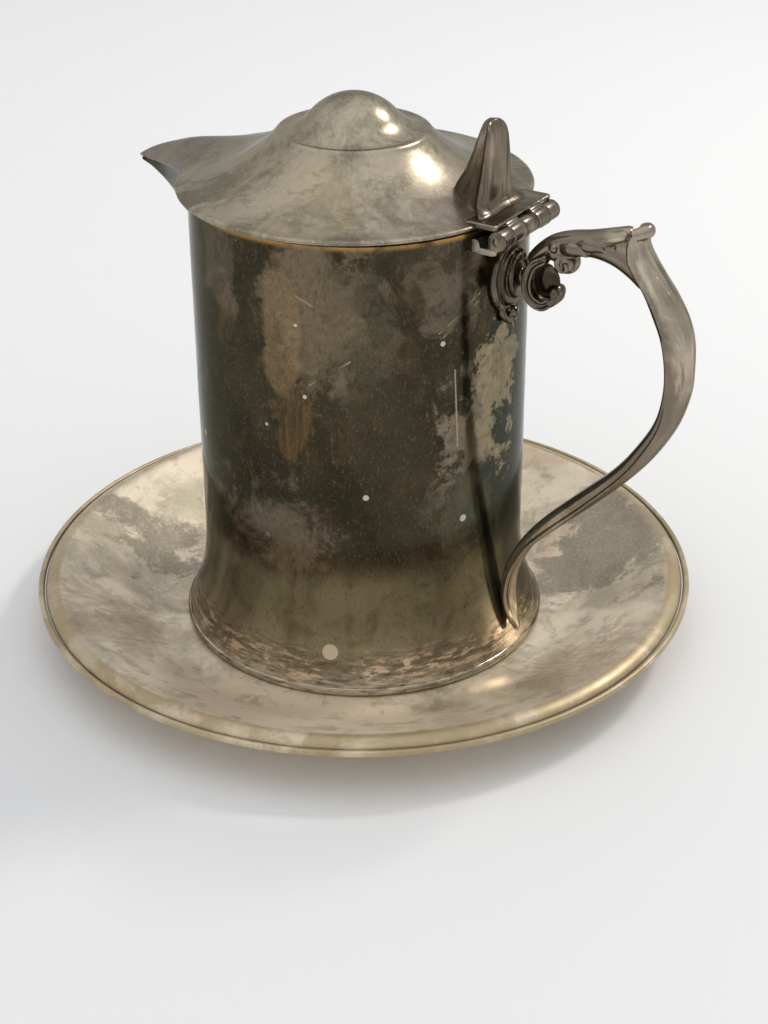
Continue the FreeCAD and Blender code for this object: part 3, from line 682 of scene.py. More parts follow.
def dish_outline():
    """Outline of (radius, height): flat well, cove, slope, crease and drooping brim."""
    cove_r = WELL_RADIUS + COVE * math.sin(COVE_SLOPE)
    cove_z = PLATE_GAUGE + COVE * (1 - math.cos(COVE_SLOPE))
    crease_z = cove_z + (CREASE - cove_r) * math.tan(COVE_SLOPE)
    under_r = WELL_RADIUS + (COVE + PLATE_GAUGE) * math.sin(COVE_SLOPE)
    under_z = (COVE + PLATE_GAUGE) * (1 - math.cos(COVE_SLOPE))
    edge = DISH_RADIUS - 0.05
    corners = [
        (0, 0.05), (WELL_RADIUS, 0.02, COVE + PLATE_GAUGE), (under_r, under_z),
        (CREASE + 0.2, crease_z - PLATE_GAUGE - 0.1, -7.0), (edge, BRIM_HIGH - PLATE_GAUGE),
        (edge, BRIM_HIGH, 7.0), (CREASE, crease_z), (cove_r, cove_z, -COVE),
        (WELL_RADIUS, PLATE_GAUGE), (0, PLATE_GAUGE),
    ]
    points = trace(corners, 0.55)
    rounded = soften(points, 3)
    inner = rounded[:, 0] < 1
    rounded[inner] = points[inner]
    return rounded


def underplate():
    make("underplate", lathe(dish_outline(), PLATE_STEPS), PLATE, "underplate",
         ["underplate_dish"], lift=0)
    half = (RIM_HIGH - RIM_LOW) / 2
    middle = (RIM_HIGH + RIM_LOW) / 2
    centre = PLATE_RADIUS - half
    turn = full_turn(28)
    roll = np.stack([centre + np.cos(turn) * half, middle + np.sin(turn) * half], 1)
    make("underplate_rim", lathe(roll, PLATE_STEPS), PLATE, "underplate",
         ["underplate_rim_wire"], lift=0)


# ---------------------------------------------------------------- jug body

OPENING_FOOT = 91.0
OPENING_HALF = 13.8


def flare_radius(z):
    """Outer radius of the drum at a height."""
    drop = np.clip(FLARE_TOP - z, 0, None)
    return DRUM_RADIUS + FLARE_BOW - np.sqrt(FLARE_BOW ** 2 - drop ** 2)


def drum():
    """Straight wall with a flared foot, cut away in a V behind the spout."""
    steps, rows, foot = 384, 120, 2.1
    turn = full_turn(steps)
    across = np.abs(np.sin(turn)) * DRUM_RADIUS
    behind = np.cos(turn) < 0
    slope = (MOUTH - OPENING_FOOT) / OPENING_HALF
    top = np.where(behind & (across < OPENING_HALF), OPENING_FOOT + across * slope, MOUTH)
    z = foot + (top[:, None] - foot) * np.linspace(0, 1, rows)
    outer = flare_radius(z)
    soft_lip = 0.075
    out_ring = np.stack([outer, z], -1)
    out_ring[:, -1] -= soft_lip
    mid_ring = np.stack([outer[:, -1] - SHEET / 2, top], -1)[:, None]
    in_ring = np.stack([outer - SHEET, z], -1)[:, ::-1]
    in_ring[:, 0, 1] -= soft_lip
    radius, height = np.moveaxis(np.concatenate([out_ring, mid_ring, in_ring], 1), -1, 0)
    dent, dent_round, dent_high, dent_start = 0.10, 1.6, 26, 20
    wave = [[noise.noise((x, y, z / dent_high)) for z in line]
            for x, y, line in zip(np.cos(turn) * dent_round, np.sin(turn) * dent_round, height)]
    radius = radius + np.array(wave) * dent * np.clip((height - foot) / dent_start, 0, 1)
    shape = skin(around(turn, radius, height), ring=True)
    make("drum", shape, BODY, "jug", ["jug_body"], sharp=50)


def foot_and_base():
    high = span("jug_foot_ring")[1].z - SEAT
    inner = FOOT_RADIUS - 2.5
    ring = soften(trace([
        (inner, 0), (FOOT_RADIUS - 0.75, 0, 1.3), (FOOT_RADIUS - 0.9, high), (inner, high),
    ], 0.2), 2)
    make("foot_ring", lathe(ring, steps=320), BODY, "jug", ["jug_foot_ring"])
    reach = span("jug_base_disc")[1].x
    disc = trace([
        (0, BASE_LOW + 0.3, -900), (reach, BASE_LOW), (reach, BASE_HIGH - 0.3, 900),
        (0, BASE_HIGH),
    ], 0.6)
    make("base_disc", lathe(disc, steps=128), BODY, "jug", ["jug_base_disc"])


# ---------------------------------------------------------------- spout and lid

BEAK_PLACES = [BEAK_TIP + 0.3, -60.5, -55.0, -48.0, -40.4, -36.0]
BEAK_HALF = [0.45, 2.0, 4.5, 9.2, 14.8, 18.2]
BEAK_EDGE = [107.7, 108.2, 109.1, 110.7, 112.3, 112.9]
BEAK_RIDGE = [108.2, 110.3, 112.5, 114.5, 115.0, 115.0]
BEAK_GAUGE = [0.45, 0.7, 0.85, 0.95, 1.0, 1.0]
KEEL = [106.3, 104.6, 100.6, 92.8, 87.4, 85.2]
SPOUT_LEAD = 0.5
DOME_FOOT = 10.4
DOME_RISE = 4.9
SHOULDER_HIGH = 124.3


def beak(x, values):
    return smooth_between(x, BEAK_PLACES, values)


def spout_point(x, side, inset):
    """A point of the V section at x: side runs from -1 to 1 from lip to lip."""
    back_from_beak, below_beak, keel_gauge, soft, belly = 0.75, 0.2, 1.5, 0.22, 0.56
    half = np.maximum(beak(x, BEAK_HALF) - back_from_beak - inset, 0.12)
    lip = beak(x, BEAK_EDGE) - beak(x, BEAK_GAUGE) - below_beak
    keel = np.minimum(beak(x, KEEL) + inset * keel_gauge, lip - 0.25)
    rise = (np.sqrt(side ** 2 + soft ** 2) - soft) / (math.sqrt(1 + soft ** 2) - soft)
    bulge = belly * (1 - np.abs(side)) * np.abs(side)
    y = np.sign(side) * (half * np.abs(side) ** 0.94 + bulge)
    return y, keel + (lip - keel) * rise


def spout():
    """V channel from the drum's opening to the pouring tip."""
    count, stations = 57, 90
    side = np.linspace(-1, 1, count)
    loops = []
    for share in np.linspace(0, 1, stations):
        rows = []
        for inset in (0.0, 0.9):
            start = np.full(count, -38.0)
            for _ in range(12):
                y = spout_point(start, side, inset)[0]
                start = -np.sqrt(np.maximum(DRUM_RADIUS ** 2 - y ** 2, 1.0)) - 0.02
            tip = SPOUT_TIP + 0.35 + SPOUT_LEAD * inset
            x = start + (tip - start) * share
            y, z = spout_point(x, side, inset)
            rows.append(np.stack([x, y, z], 1))
        loops.append(np.concatenate([rows[0], rows[1][::-1]]))
    loops = np.array(loops)
    make("spout_beak", ended(loops, count), BODY, "jug", ["spout"], sharp=50)


def ended(loops, count):
    """Skin loops made of an outer and an inner run, and close their ends with strips."""
    points, faces = skin(loops)
    points = points[:-2]
    faces = [f for f in faces if max(f) < len(points)]
    total = loops.shape[1]
    for first in (0, (len(loops) - 1) * total):
        for k in range(count - 1):
            faces.append([first + k, first + k + 1, first + total - 2 - k, first + total - 1 - k])
    return points, faces


def ogee_profile():
    """Heights of the lid's round part by radius, rim to middle."""
    dome_bow = (DOME_FOOT ** 2 + DOME_RISE ** 2) / (2 * DOME_RISE)
    line = trace([
        (LID_RADIUS, LID_LOW + 1.2, -34.2), (18.0, SHOULDER_HIGH, 1.1),
        (16.3, SHOULDER_HIGH + 0.6, -9.5), (DOME_FOOT, LID_TOP - DOME_RISE, dome_bow),
        (0, LID_TOP),
    ], 0.12, closed=False)
    return soften(line, 14, closed=False)[::-1]


def lid_outline(turn):
    """Radius of the lid's edge at each angle from the spout's direction."""
    low, high = np.full(len(turn), 20.0), np.full(len(turn), LID_X - BEAK_TIP)
    away = np.abs(turn)
    for _ in range(50):
        middle = (low + high) / 2
        x = LID_X - middle * np.cos(away)
        inside = middle * np.sin(away) < beak(x, BEAK_HALF)
        low, high = np.where(inside, middle, low), np.where(inside, high, middle)
    joined = smooth_max(low, LID_RADIUS, 0.8)
    return np.where(away < math.radians(28), joined, LID_RADIUS)


def lid_height(x, y, profile):
    """Height of the lid's upper face, ogee and beak blended."""
    slope_outside, beak_root, root_length, sink, seam = 1.1, -20, 8, 30, 0.9
    radius = np.hypot(x - LID_X, y)
    ogee = np.interp(radius, profile[:, 0], profile[:, 1])
    ogee = ogee - slope_outside * np.clip(radius - LID_RADIUS, 0, None)
    half, edge, ridge = (beak(x, row) for row in (BEAK_HALF, BEAK_EDGE, BEAK_RIDGE))
    crown = edge + (ridge - edge) * (1 - (y / half) ** 2)
    towards = np.clip((beak_root - x) / root_length, 0, 1)
    crown = crown - sink * (1 - towards) ** 2
    return smooth_max(ogee, crown, seam)


def lid():
    """One raised skin: dome, ring, ogee and the beak that covers the spout."""
    profile = ogee_profile()
    beak_turn, flat, round_gauge, roll = math.radians(27), 30.0, 1.1, 1.2
    share = np.linspace(-1, 1, 181)
    fine = np.sign(share) * np.abs(share) ** 1.7 * beak_turn
    coarse = np.linspace(beak_turn, 2 * math.pi - beak_turn, 200)[1:-1]
    turn = np.concatenate([fine, coarse])
    turn = np.where(turn > math.pi, turn - 2 * math.pi, turn)
    reach = lid_outline(turn)
    inner = np.concatenate([np.linspace(0, 9.5, 16), np.linspace(10, 20, 40)[:-1],
                            np.linspace(20, flat, 18)[:-1]])
    outer = np.linspace(0, 1, 44)
    radius = np.concatenate([np.tile(inner, (len(turn), 1)),
                             flat + (reach[:, None] - flat) * outer], 1)
    x = LID_X - radius * np.cos(turn)[:, None]
    y = radius * np.sin(turn)[:, None]
    top = lid_height(x, y, profile)
    gauge = np.where(x < -40, np.clip(beak(x, BEAK_GAUGE), 0, 1.05), round_gauge)
    fade = np.clip((radius - (reach[:, None] - roll)) / roll, 0, 1)
    round_off = 0.28 * fade ** 3
    proud = radius[:, -1] + 0.12
    rim = np.stack([LID_X - proud * np.cos(turn), proud * np.sin(turn),
                    top[:, -1] - gauge[:, -1] / 2], 1)[:, None]
    upper = np.stack([x, y, top - round_off], -1)
    lower = np.stack([x, y, top - gauge + round_off * 0.6], -1)[:, ::-1]
    loops = np.concatenate([upper, rim, lower], 1)
    make("lid", skin(loops, ring=True), LID, "lid", ["lid_shell", "lid_beak_cover"],
         sharp=60)
    return profile


def lid_collar():
    """Shallow collar under the lid, open towards the spout."""
    gap = math.radians(33)
    turn = np.linspace(-math.pi + gap, math.pi - gap, 220)
    section = soften(trace([
        (BEZEL_RADIUS - 0.8, BEZEL_LOW), (BEZEL_RADIUS, BEZEL_LOW),
        (BEZEL_RADIUS, LID_LOW + 0.15), (BEZEL_RADIUS - 0.8, LID_LOW + 0.15),
    ], 0.2), 1)
    loops = around(turn, section[:, 0], section[:, 1])
    make("lid_collar", skin(loops), LID, "lid", ["lid_bezel"])


# ---------------------------------------------------------------- thumbpiece and hinge

def thumbpiece(profile):
    """Fin with a hollow back between two ridges, spread at its foot onto the lid."""
    # height, back x, front x, half width behind, half width in front
    sections = [
        (112.6, 39.2, 28.6, 10.4, 5.4), (113.7, 38.8, 28.0, 9.8, 4.8), (114.4, 37.9, 27.4, 8.8, 4.2),
        (115.4, 37.2, 26.9, 8.0, 3.7), (117.2, 36.9, 26.8, 7.2, 3.2), (121.0, 36.8, 29.0, 6.3, 2.9),
        (125.5, 36.8, 31.0, 5.5, 2.9), (129.0, 36.7, 32.2, 4.7, 2.7), (131.0, 36.4, 32.9, 3.9, 2.4),
        (132.1, 35.9, 33.3, 3.0, 1.9), (THUMB_TOP - 0.3, 35.4, 33.7, 2.0, 1.3),
        (THUMB_TOP - 0.05, 34.8, 34.1, 0.9, 0.6),
    ]
    rows = spline(sections, 110)
    loops = []
    for z, back, front, wide, narrow in rows:
        length = back - front
        half_way = wide + (narrow - wide) * 0.45
        one_side = [
            (back - 0.05 * wide, 0.0), (back, 0.70 * wide), (back - 0.10 * length, wide),
            (back - 0.30 * length, 0.86 * half_way + 0.10 * wide),
            (back - 0.60 * length, half_way * 0.82),
            (front + 0.16 * length, narrow), (front, narrow * 0.45),
        ]
        corners = np.array(one_side + [(x, -y) for x, y in one_side[:0:-1]])
        closed = np.vstack([corners[-2:], corners, corners[:3]])
        line = spline(closed, (len(closed) - 1) * 8 + 1)[16:16 + len(corners) * 8]
        loops.append(np.column_stack([line, np.full(len(line), z)]))
    points, faces = skin(np.array(loops))
    sunk, leaf_from = 0.9, 35
    ground = lid_height(points[:, 0], points[:, 1], profile) - sunk
    ground = np.where(points[:, 0] > leaf_from, LEAF_TOP - 0.5, ground)
    points[:, 2] = np.maximum(points[:, 2], np.minimum(ground, THUMB_TOP - 0.05))
    points[:, 0] = np.minimum(points[:, 0], THUMB_BACK + 2.4)
    make("thumbpiece_fin", (points, faces), FIN, "lid", ["thumbpiece"], sharp=70)


def lid_leaf():
    """Leaf over the brim: dished on top, thick at its corners, with two knuckles below."""
    rows = []
    inner_x, outer_x, tip = 34.4, 43.4, 0.94
    for y in np.linspace(-LEAF_HALF, LEAF_HALF, 81):
        share = abs(y) / LEAF_HALF
        near_end = max((share - tip) / (1 - tip), 0)
        low_x = inner_x + 0.9 * share ** 4 + near_end * 0.15
        high_x = outer_x - 0.45 * (1 - share ** 2) - near_end ** 2 * 0.5
        top = LEAF_TOP - 0.35 * (1 - share ** 3) - near_end ** 3 * 0.35
        low = LEAF_TOP - 1.15 - 0.35 * share ** 5 + near_end ** 3 * 0.35
        section = soften(trace([
            (low_x, low + 0.2), (high_x - 0.3, low), (high_x, low + 0.4), (high_x, top),
            (high_x - 2.2, top - 0.25 * (1 - share)), (low_x + 1.5, top - 0.3 * (1 - share)),
            (low_x, top - 0.35),
        ], 0.25), 2)
        rows.append(resample(section, 90, y))
    leaf = merge(skin(np.array(rows)), *knuckles("lid"))
    make("lid_leaf", leaf, HINGE, "lid", ["hinge_lid_leaf"])


def resample(section, count, y):
    """A closed outline of (x, z) as count even points at one y."""
    closed = np.vstack([section, section[:1]])
    along = np.concatenate([[0], np.cumsum(np.hypot(*np.diff(closed, axis=0).T))])
    where = np.linspace(0, along[-1], count, endpoint=False)
    x = np.interp(where, along, closed[:, 0])
    z = np.interp(where, along, closed[:, 1])
    return np.column_stack([x, np.full(count, y), z])


KNUCKLE = 2.25
STRIP_LOW = 107.0
STRIP_HIGH = 108.4
EAR = 4.5
EAR_HIGH = 1.8


def knuckle_outline(up):
    """A rolled knuckle about the pin with its web, up to the leaf or down to the strip."""
    turn = 1 if up else -1
    reach = LEAF_TOP - 0.6 - PIN_Z if up else PIN_Z - STRIP_LOW
    angles = np.radians(np.linspace(175, 445, 56))
    roll = np.stack([np.cos(angles) * KNUCKLE, np.sin(angles) * KNUCKLE], 1)
    web = trace([tuple(roll[-1]), (-0.2, reach), (-KNUCKLE, reach), (-KNUCKLE, 0.2)],
                0.3, closed=False)[1:]
    line = np.vstack([roll, web])
    line = soften(line, 1)
    return np.column_stack([PIN_X + line[:, 0], PIN_Z + turn * line[:, 1]])


def knuckles(owner):
    """The knuckles of the lid or of the jug, which take turns along the pin."""
    half, gap = LEAF_HALF, 0.1
    edges = [-half, -half + 4.6, -half + 9.8, half - 9.8, half - 4.6, half]
    spans = [(a + gap, b - gap) for a, b in zip(edges, edges[1:])]
    mine = spans[1::2] if owner == "lid" else spans[0::2]
    outline = knuckle_outline(up=owner == "lid")
    return [bar(outline, low_y, high_y) for low_y, high_y in mine]


def body_bracket():
    """Strip on the drum with turned-up ears at its ends, and three knuckles."""
    rows = []
    for y in np.linspace(-LEAF_HALF, LEAF_HALF, 121):
        wall = math.sqrt(DRUM_RADIUS ** 2 - y * y) - 0.05
        lip = min(smooth_max(abs(y) - (LEAF_HALF - EAR), 0.0, 0.5), 1.0) * EAR_HIGH
        section = trace([
            (wall, STRIP_LOW), (PIN_X - 0.9, STRIP_LOW), (PIN_X + 0.2, STRIP_LOW + 0.6),
            (PIN_X - 0.3, STRIP_HIGH), (wall + 1.9, STRIP_HIGH),
            (wall + 1.7, STRIP_HIGH + lip * 0.75), (wall + 0.8, STRIP_HIGH + lip),
            (wall, STRIP_HIGH + lip * 0.9),
        ], 0.25)
        rows.append(resample(soften(section, 2), 80, y))
    bracket = merge(skin(np.array(rows)), *knuckles("jug"))
    make("body_bracket", bracket, HINGE, "jug", ["hinge_body_bracket"], sharp=50)


def hinge_pin():
    """Pin with slightly domed, peened ends."""
    end = PIN_END
    line = [(0, -end), (PIN_RADIUS * 0.6, -end + 0.03), (PIN_RADIUS, -end + 0.25),
            (PIN_RADIUS, end - 0.25), (PIN_RADIUS * 0.6, end - 0.03), (0, end)]
    outline = trace(line, 0.3)
    points, faces = lathe(outline, steps=40)
    turned = np.column_stack([points[:, 0] + PIN_X, points[:, 2], points[:, 1] + PIN_Z])
    make("hinge_rod", (turned, faces), PIN, "jug", ["hinge_pin"])


# ---------------------------------------------------------------- handle

def rounded(count):
    """Sizes along a sweep: 1, but less at its two ends."""
    sizes = np.ones(count)
    sizes[:3] = 0.35, 0.75, 0.93
    sizes[-3:] = sizes[2::-1]
    return sizes


def tube(path, sizes, shape, sides=36):
    """Sweep a section along a path in the plane y = 0. sizes are (gauge, width) half
    sizes along the path, and shape(angle) gives the section's form."""
    count = 8 * len(path)
    line = spline(path, count)
    size = spline(sizes, count)
    slope = np.gradient(line, axis=0)
    slope /= np.linalg.norm(slope, axis=1)[:, None]
    across = np.column_stack([slope[:, 1], -slope[:, 0]])
    out, side = shape(full_turn(sides))
    loops = []
    for place, way, (gauge, width), end in zip(line, across, size, rounded(count)):
        flat = place + way * (out * gauge * end)[:, None]
        loops.append(np.column_stack([flat[:, 0], side * width * end, flat[:, 1]]))
    return skin(np.array(loops))


def oval(turn):
    return np.cos(turn), np.sin(turn)


def gutter(turn):
    """Boxy section, hollow on the side that the path turns towards."""
    out, side = np.cos(turn), np.sin(turn)
    side = np.sign(side) * np.abs(side) ** 0.6
    reach = np.abs(out) ** 0.7
    hollow = 0.9 * (1 - np.abs(side) ** 3) * np.abs(out)
    return np.where(out > 0, reach, hollow - reach), side


def cast_bar(inner, crown, sizes, sides=48):
    """Sweep a D section between an inner and an outer line in the plane y = 0. sizes are
    (half width, share of the thickness at which it is widest, hollow of the outer face)."""
    count = 7 * len(inner)
    inside, outside, size = spline(inner, count), spline(crown, count), spline(sizes, count)
    turn = full_turn(sides)
    out, side = np.cos(turn), np.sin(turn)
    side = np.sign(side) * np.abs(side) ** 0.75
    reach = np.abs(out) ** 0.75
    ends = rounded(count)
    loops = []
    for i, (half, belly, hollow) in enumerate(size):
        outer = (1 - belly) * reach - hollow * (1 - side ** 2)
        within = -(belly + 0.12 * (1 - 2 * belly)) * reach
        share = 0.5 + (belly + np.where(out > 0, outer, within) - 0.5) * ends[i]
        flat = inside[i] + (outside[i] - inside[i]) * share[:, None]
        loops.append(np.column_stack([flat[:, 0], side * half * ends[i], flat[:, 1]]))
    return skin(np.array(loops))


def rope(path, radii, sides=14, flat=1.0):
    """A round bar along points in space. flat squeezes it along Y."""
    count = 8 * len(path)
    line = spline(path, count)
    size = spline(radii, count)[:, 0] * rounded(count)
    along = np.gradient(line, axis=0)
    along /= np.linalg.norm(along, axis=1)[:, None]
    across = np.cross(along[0], (0.31, 0.52, 0.79))
    turn = full_turn(sides)[:, None]
    loops = []
    for place, way, radius in zip(line, along, size):
        across = across - way * across.dot(way)
        across /= np.linalg.norm(across)
        circle = np.cos(turn) * across + np.sin(turn) * np.cross(way, across)
        loops.append(place + radius * circle * (1, flat, 1))
    return skin(np.array(loops))


def ball(x, y, z, size_x, size_y=None, size_z=None):
    """A cast bead, an egg of three half sizes."""
    size = np.array([size_x, size_y or size_x, size_z or size_x])
    tilt = np.linspace(0.12, math.pi - 0.12, 14)[:, None]
    turn = full_turn(24)
    unit = np.stack([np.cos(turn) * np.sin(tilt), np.sin(turn) * np.sin(tilt),
                     np.broadcast_to(-np.cos(tilt), (14, 24))], -1)
    return skin(unit * size + (x, y, z))


def in_plane(path, y):
    """Points (x, z) set at y, one value or one each."""
    path = np.array(path, float)
    return np.column_stack([path[:, 0], np.broadcast_to(y, len(path)), path[:, 1]])


# inner corner and crown of the grip, from the thumb knob down to the tail's tip
GRIP = [
    (70.4, 114.4, 73.8, 115.4), (69.9, 111.8, 74.3, 112.0), (70.6, 108.6, 76.2, 108.9),
    (72.4, 105.4, 79.0, 105.2), (75.0, 101.6, 81.6, 101.6), (77.4, 97.0, 83.9, 97.0),
    (79.6, 91.8, 85.5, 92.0), (80.7, 85.0, 85.9, 86.0), (80.3, 78.2, 85.6, 79.5),
    (78.2, 71.2, 83.2, 70.8), (73.2, 62.8, 78.5, 62.0), (68.2, 56.4, 73.0, 54.8),
    (60.6, 48.8, 65.3, 46.4), (52.4, 40.4, 56.0, 36.8), (47.6, 34.6, 50.6, 31.3),
    (44.6, 29.8, 47.6, 27.5), (42.2, 24.5, 45.4, 23.3), (41.0, 19.5, 44.0, 19.0),
    (41.0, 14.0, 43.6, 14.0), (42.2, 9.8, 44.6, 9.6), (44.0, 6.2, 46.0, 5.6),
]
GRIP_SIZES = [
    (2.6, 0.2, 0.20), (3.1, 0.1, 0.25), (3.5, 0.0, 0.22), (3.5, 0.0, 0.18), (3.5, 0.0, 0.10),
    (3.5, 0.0, 0.0), (3.5, 0.0, 0.0), (3.5, 0.05, 0.0), (3.45, 0.15, 0.0),
    (3.4, 0.3, 0.05), (3.25, 0.4, 0.10), (3.1, 0.45, 0.15), (2.95, 0.5, 0.2),
    (2.8, 0.5, 0.3), (2.65, 0.5, 0.35), (2.5, 0.5, 0.4), (2.45, 0.5, 0.4), (2.5, 0.5, 0.4),
    (2.4, 0.5, 0.4), (1.9, 0.5, 0.2), (0.9, 0.5, 0.0),
]
LEAF_LOBES = [
    [(54.2, 107.8, 2.6), (56.6, 108.4, 3.2), (58.9, 108.4, 3.2), (61.0, 107.4, 2.9)],
    [(58.0, 109.2, 2.5), (60.6, 109.9, 3.1), (62.9, 110.1, 3.1), (64.8, 109.4, 2.8)],
    [(62.0, 110.6, 2.0), (64.8, 111.6, 2.0), (67.4, 112.9, 1.6), (69.7, 114.7, 1.0)],
]


def handle():
    """Cast handle: leafed arm, rolled thumb knob, hollow-faced grip and pointed tail."""
    grip, sizes = np.array(GRIP), np.array(GRIP_SIZES)
    inner, crown = grip[:, :2], grip[:, 2:]
    arm = [(50.0, 105.0), (55.0, 107.9), (60.5, 109.1), (66.0, 108.4), (70.8, 106.2), (75.0, 102.6)]
    leaf = [(45.8, 102.6), (48.5, 105.5), (51.5, 108.0), (55.5, 109.6), (60.0, 110.6),
            (65.5, 112.2), (70.0, 114.0)]
    corner = [(66.0, 110.6), (70.5, 109.5), (74.5, 105.0)]
    eye_x, eye_z = 54.7, 104.1
    across = np.linspace(-1, 1, 9)
    lip = np.column_stack([73.0 - 2.4 * across ** 2, 3.0 * across,
                           KNOB_TOP - 1.75 - 0.8 * across ** 2])
    shapes = [
        cast_bar(inner, crown, sizes),
        tube(arm, [(2.4, 2.7)] + [(2.6, 2.8)] * 4 + [(2.2, 2.6)], oval),
        tube(leaf, [(1.6, 2.6)] + [(1.9, 3.0)] * 5 + [(1.5, 2.6)], oval),
        tube(corner, [(2.6, 2.3)] * 3, oval),
        ball(eye_x, 0, eye_z, 2.7, 3.0, 2.6),
        rope(lip, 1.65 - 0.5 * across ** 2),
    ]
    bend = 7
    edge = inner + (crown - inner) * (sizes[:, 1:2] + 0.12)
    half = sizes[:, 0] - 0.05
    turn = np.linspace(0, 1.6 * math.pi, 9)
    reach, start = 1.9 - 0.22 * turn, 2.2
    curl = np.column_stack([eye_x + reach * np.cos(turn + start),
                            eye_z + reach * np.sin(turn + start)])
    for side in (-1, 1):
        ridge = in_plane(edge, side * half)
        shapes.append(rope(ridge[:bend], [1.0, 1.0, 0.9, 0.8, 0.65, 0.45, 0.25]))
        shapes.append(rope(ridge[bend + 1:], [0.25, 0.4] + [0.5] * 9 + [0.4, 0.3]))
        for lobe in LEAF_LOBES:
            path = [(x, side * y, z) for x, z, y in lobe]
            shapes.append(rope(path, [1.2, 1.35, 1.0, 0.3], flat=0.6))
        shapes.append(ball(52.5, side * 3.1, 107.8, 0.95))
        shapes.append(rope(in_plane(curl, side * (2.35 + 0.16 * turn)), [0.5, 0.45]))
    cast("handle_casting", merge(*shapes), CAST, "handle", 0.22)


def handle_scroll():
    """C-scroll under the arm: a gutter with raised edges, a thin web and a rolled end."""
    path = [(50.8, 105.0), (47.8, 103.0), (46.4, 100.0), (46.3, 97.0), (47.6, 94.6),
            (50.0, 93.8), (52.0, 94.8), (52.6, 96.8)]
    sizes = [(1.0, 2.8)] + [(1.15, 3.4)] * 5 + [(1.1, 3.0), (0.9, 2.6)]
    shapes = [tube(path, sizes, gutter, 40)]
    inward = (49.9, 98.8) - np.array(path)
    inward /= np.linalg.norm(inward, axis=1)[:, None]
    for line, y in ((path + inward * 0.85, 3.35), (path - inward * 0.75, 3.5)):
        for side in (-1, 1):
            shapes.append(rope(in_plane(line[:-1], side * y), [0.42, 0.42]))
    shapes.append(ball(52.2, 0, 96.6, 1.75, 2.8, 1.75))
    shapes.append(ball(49.6, 0, 98.6, 3.4, 0.9, 4.2))
    cast("scroll_casting", merge(*shapes), ORNAMENT, "handle_scroll")


def wall_ring(half_width, half_height, middle_z, proud, radius):
    """An oval bead that follows the drum's round wall."""
    turn = np.linspace(0, 2 * math.pi, 41)
    y = np.cos(turn) * half_width
    wall = np.sqrt(DRUM_RADIUS ** 2 - y ** 2) + proud
    line = np.column_stack([wall, y, middle_z + np.sin(turn) * half_height])
    return rope(line, [radius, radius])


def handle_mount():
    """Shield on the wall: nested oval beads round a boss, a bead above and a hood below."""
    shapes = [
        wall_ring(6.2, 7.3, 97.6, 0.4, 1.0), wall_ring(4.9, 5.9, 98.2, 1.6, 0.9),
        wall_ring(3.2, 4.5, 98.6, 2.9, 0.9), ball(40.4, 0, 97.8, 3.4, 4.2, 5.8),
        tube([(42.0, 98.5), (44.0, 98.7), (46.4, 99.0)], [(1.6, 1.6)] * 3, oval),
        ball(41.4, 0, 89.4, 1.4),
    ]
    for side in (-1, 1):
        shapes.append(ball(42.6, side * 0.8, 103.2, 1.2))
        hood = [(39.9, side * 3.2, 90.8), (40.4, side * 2.6, 89.0), (40.8, side * 1.2, 87.8),
                (40.9, 0, 87.4)]
        shapes.append(rope(hood, [0.9, 1.0]))
    points, faces = merge(*shapes)
    reach = np.hypot(points[:, 0], points[:, 1])
    sunk = DRUM_RADIUS - 0.3
    points[reach < sunk, :2] *= (sunk / reach)[reach < sunk, None]
    cast("mount_casting", (points, faces), ORNAMENT, "handle_mount")


underplate()
drum()
foot_and_base()
spout()
LID_PROFILE = lid()
lid_collar()
thumbpiece(LID_PROFILE)
lid_leaf()
body_bracket()
hinge_pin()
handle()
handle_scroll()
handle_mount()


# ---------------------------------------------------------------- floor, light, camera

def floor():
    """Wide pale sheet that rises far behind the object on every side."""
    flat, rise = 2.2, 2.0
    bend = np.linspace(0.15, math.pi / 2, 12)
    radius = np.concatenate([[0.02, flat / 2, flat], flat + rise * np.sin(bend)])
    height = np.concatenate([[0.0, 0.0, 0.0], rise * (1 - np.cos(bend))])
    count = 96
    turn = full_turn(count)
    rings = np.stack([np.cos(turn) * radius[:, None], np.sin(turn) * radius[:, None],
                      np.broadcast_to(height[:, None], (len(height), count))], -1)
    points, faces = skin(rings)
    hole = len(points) - 1
    faces = [face for face in faces if hole not in face]
    mesh = bpy.data.meshes.new("floor")
    mesh.from_pydata(points[:hole].tolist(), [], faces)
    mesh.shade_smooth()
    n = Nodes("floor_paper")
    shader = n.add("ShaderNodeBsdfPrincipled")
    shader.inputs["Base Color"].default_value = (0.88, 0.88, 0.87, 1)
    shader.inputs["Roughness"].default_value = 0.9
    out = n.add("ShaderNodeOutputMaterial")
    n.tree.links.new(shader.outputs[0], out.inputs["Surface"])
    mesh.materials.append(n.material)
    sheet = add_object("floor", mesh)


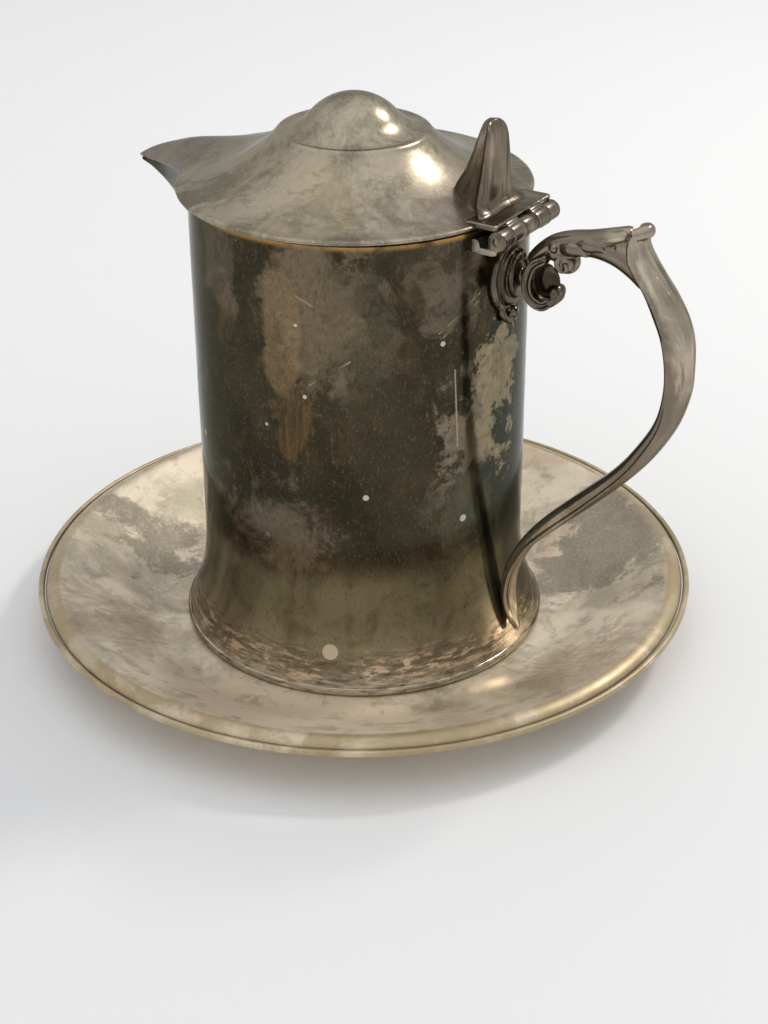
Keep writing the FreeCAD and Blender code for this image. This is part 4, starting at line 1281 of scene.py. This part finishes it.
def sky():
    """Even sky, brighter overhead."""
    world = bpy.data.worlds.new("studio")
    world.use_nodes = True
    tree = world.node_tree
    background = tree.nodes["Background"]
    background.inputs["Color"].default_value = (0.96, 0.97, 1.0, 1)
    way = tree.nodes.new("ShaderNodeTexCoord").outputs["Generated"]
    split = tree.nodes.new("ShaderNodeSeparateXYZ")
    tree.links.new(way, split.inputs[0])
    strength = tree.nodes.new("ShaderNodeMapRange")
    strength.inputs["To Min"].default_value = 0.32
    strength.inputs["To Max"].default_value = 1.05
    tree.links.new(split.outputs["Z"], strength.inputs["Value"])
    tree.links.new(strength.outputs["Result"], background.inputs["Strength"])
    bpy.context.scene.world = world


def key_lamp():
    """One small soft lamp, high behind the jug on the handle's side, that looks at it."""
    azimuth, elevation, distance = math.radians(63), math.radians(46), 0.95
    away = Vector((math.cos(azimuth) * math.cos(elevation),
                   math.sin(azimuth) * math.cos(elevation), math.sin(elevation)))
    data = bpy.data.lights.new("key", "AREA")
    data.shape = "SQUARE"
    data.size = 0.15
    data.energy = 2.8
    data.color = (1.0, 0.96, 0.90)
    lamp = add_object("key", data)
    lamp.location = Vector((0, 0, (cad_low.z + cad_high.z) / 2)) + away * distance
    lamp.rotation_euler = away.to_track_quat("Z", "Y").to_euler()


def camera():
    """Looks down at the jug from the handle's right, as a hand-held phone would."""
    azimuth, elevation, roll = math.radians(33), math.radians(29.228), math.radians(-0.404)
    distance, aim_ahead, aim_high = 0.4774, 5.218 * MM, (25.177 + SEAT) * MM
    level = Vector((math.cos(azimuth), math.sin(azimuth), 0))
    target = level * aim_ahead + Vector((0, 0, aim_high))
    back = Vector((math.sin(azimuth) * math.cos(elevation),
                   -math.cos(azimuth) * math.cos(elevation), math.sin(elevation)))
    right = level * math.cos(roll) + back.cross(level) * math.sin(roll)
    above = back.cross(right)
    data = bpy.data.cameras.new("camera")
    data.sensor_width = 36
    data.lens = 66.445
    data.clip_start, data.clip_end = 0.01, 20
    view = add_object("camera", data)
    turn = Matrix((right, above, back)).transposed()
    view.matrix_world = Matrix.Translation(target + back * distance) @ turn.to_4x4()
    bpy.context.scene.camera = view


floor()
sky()
key_lamp()
camera()
bpy.context.scene.view_settings.view_transform = "Standard"
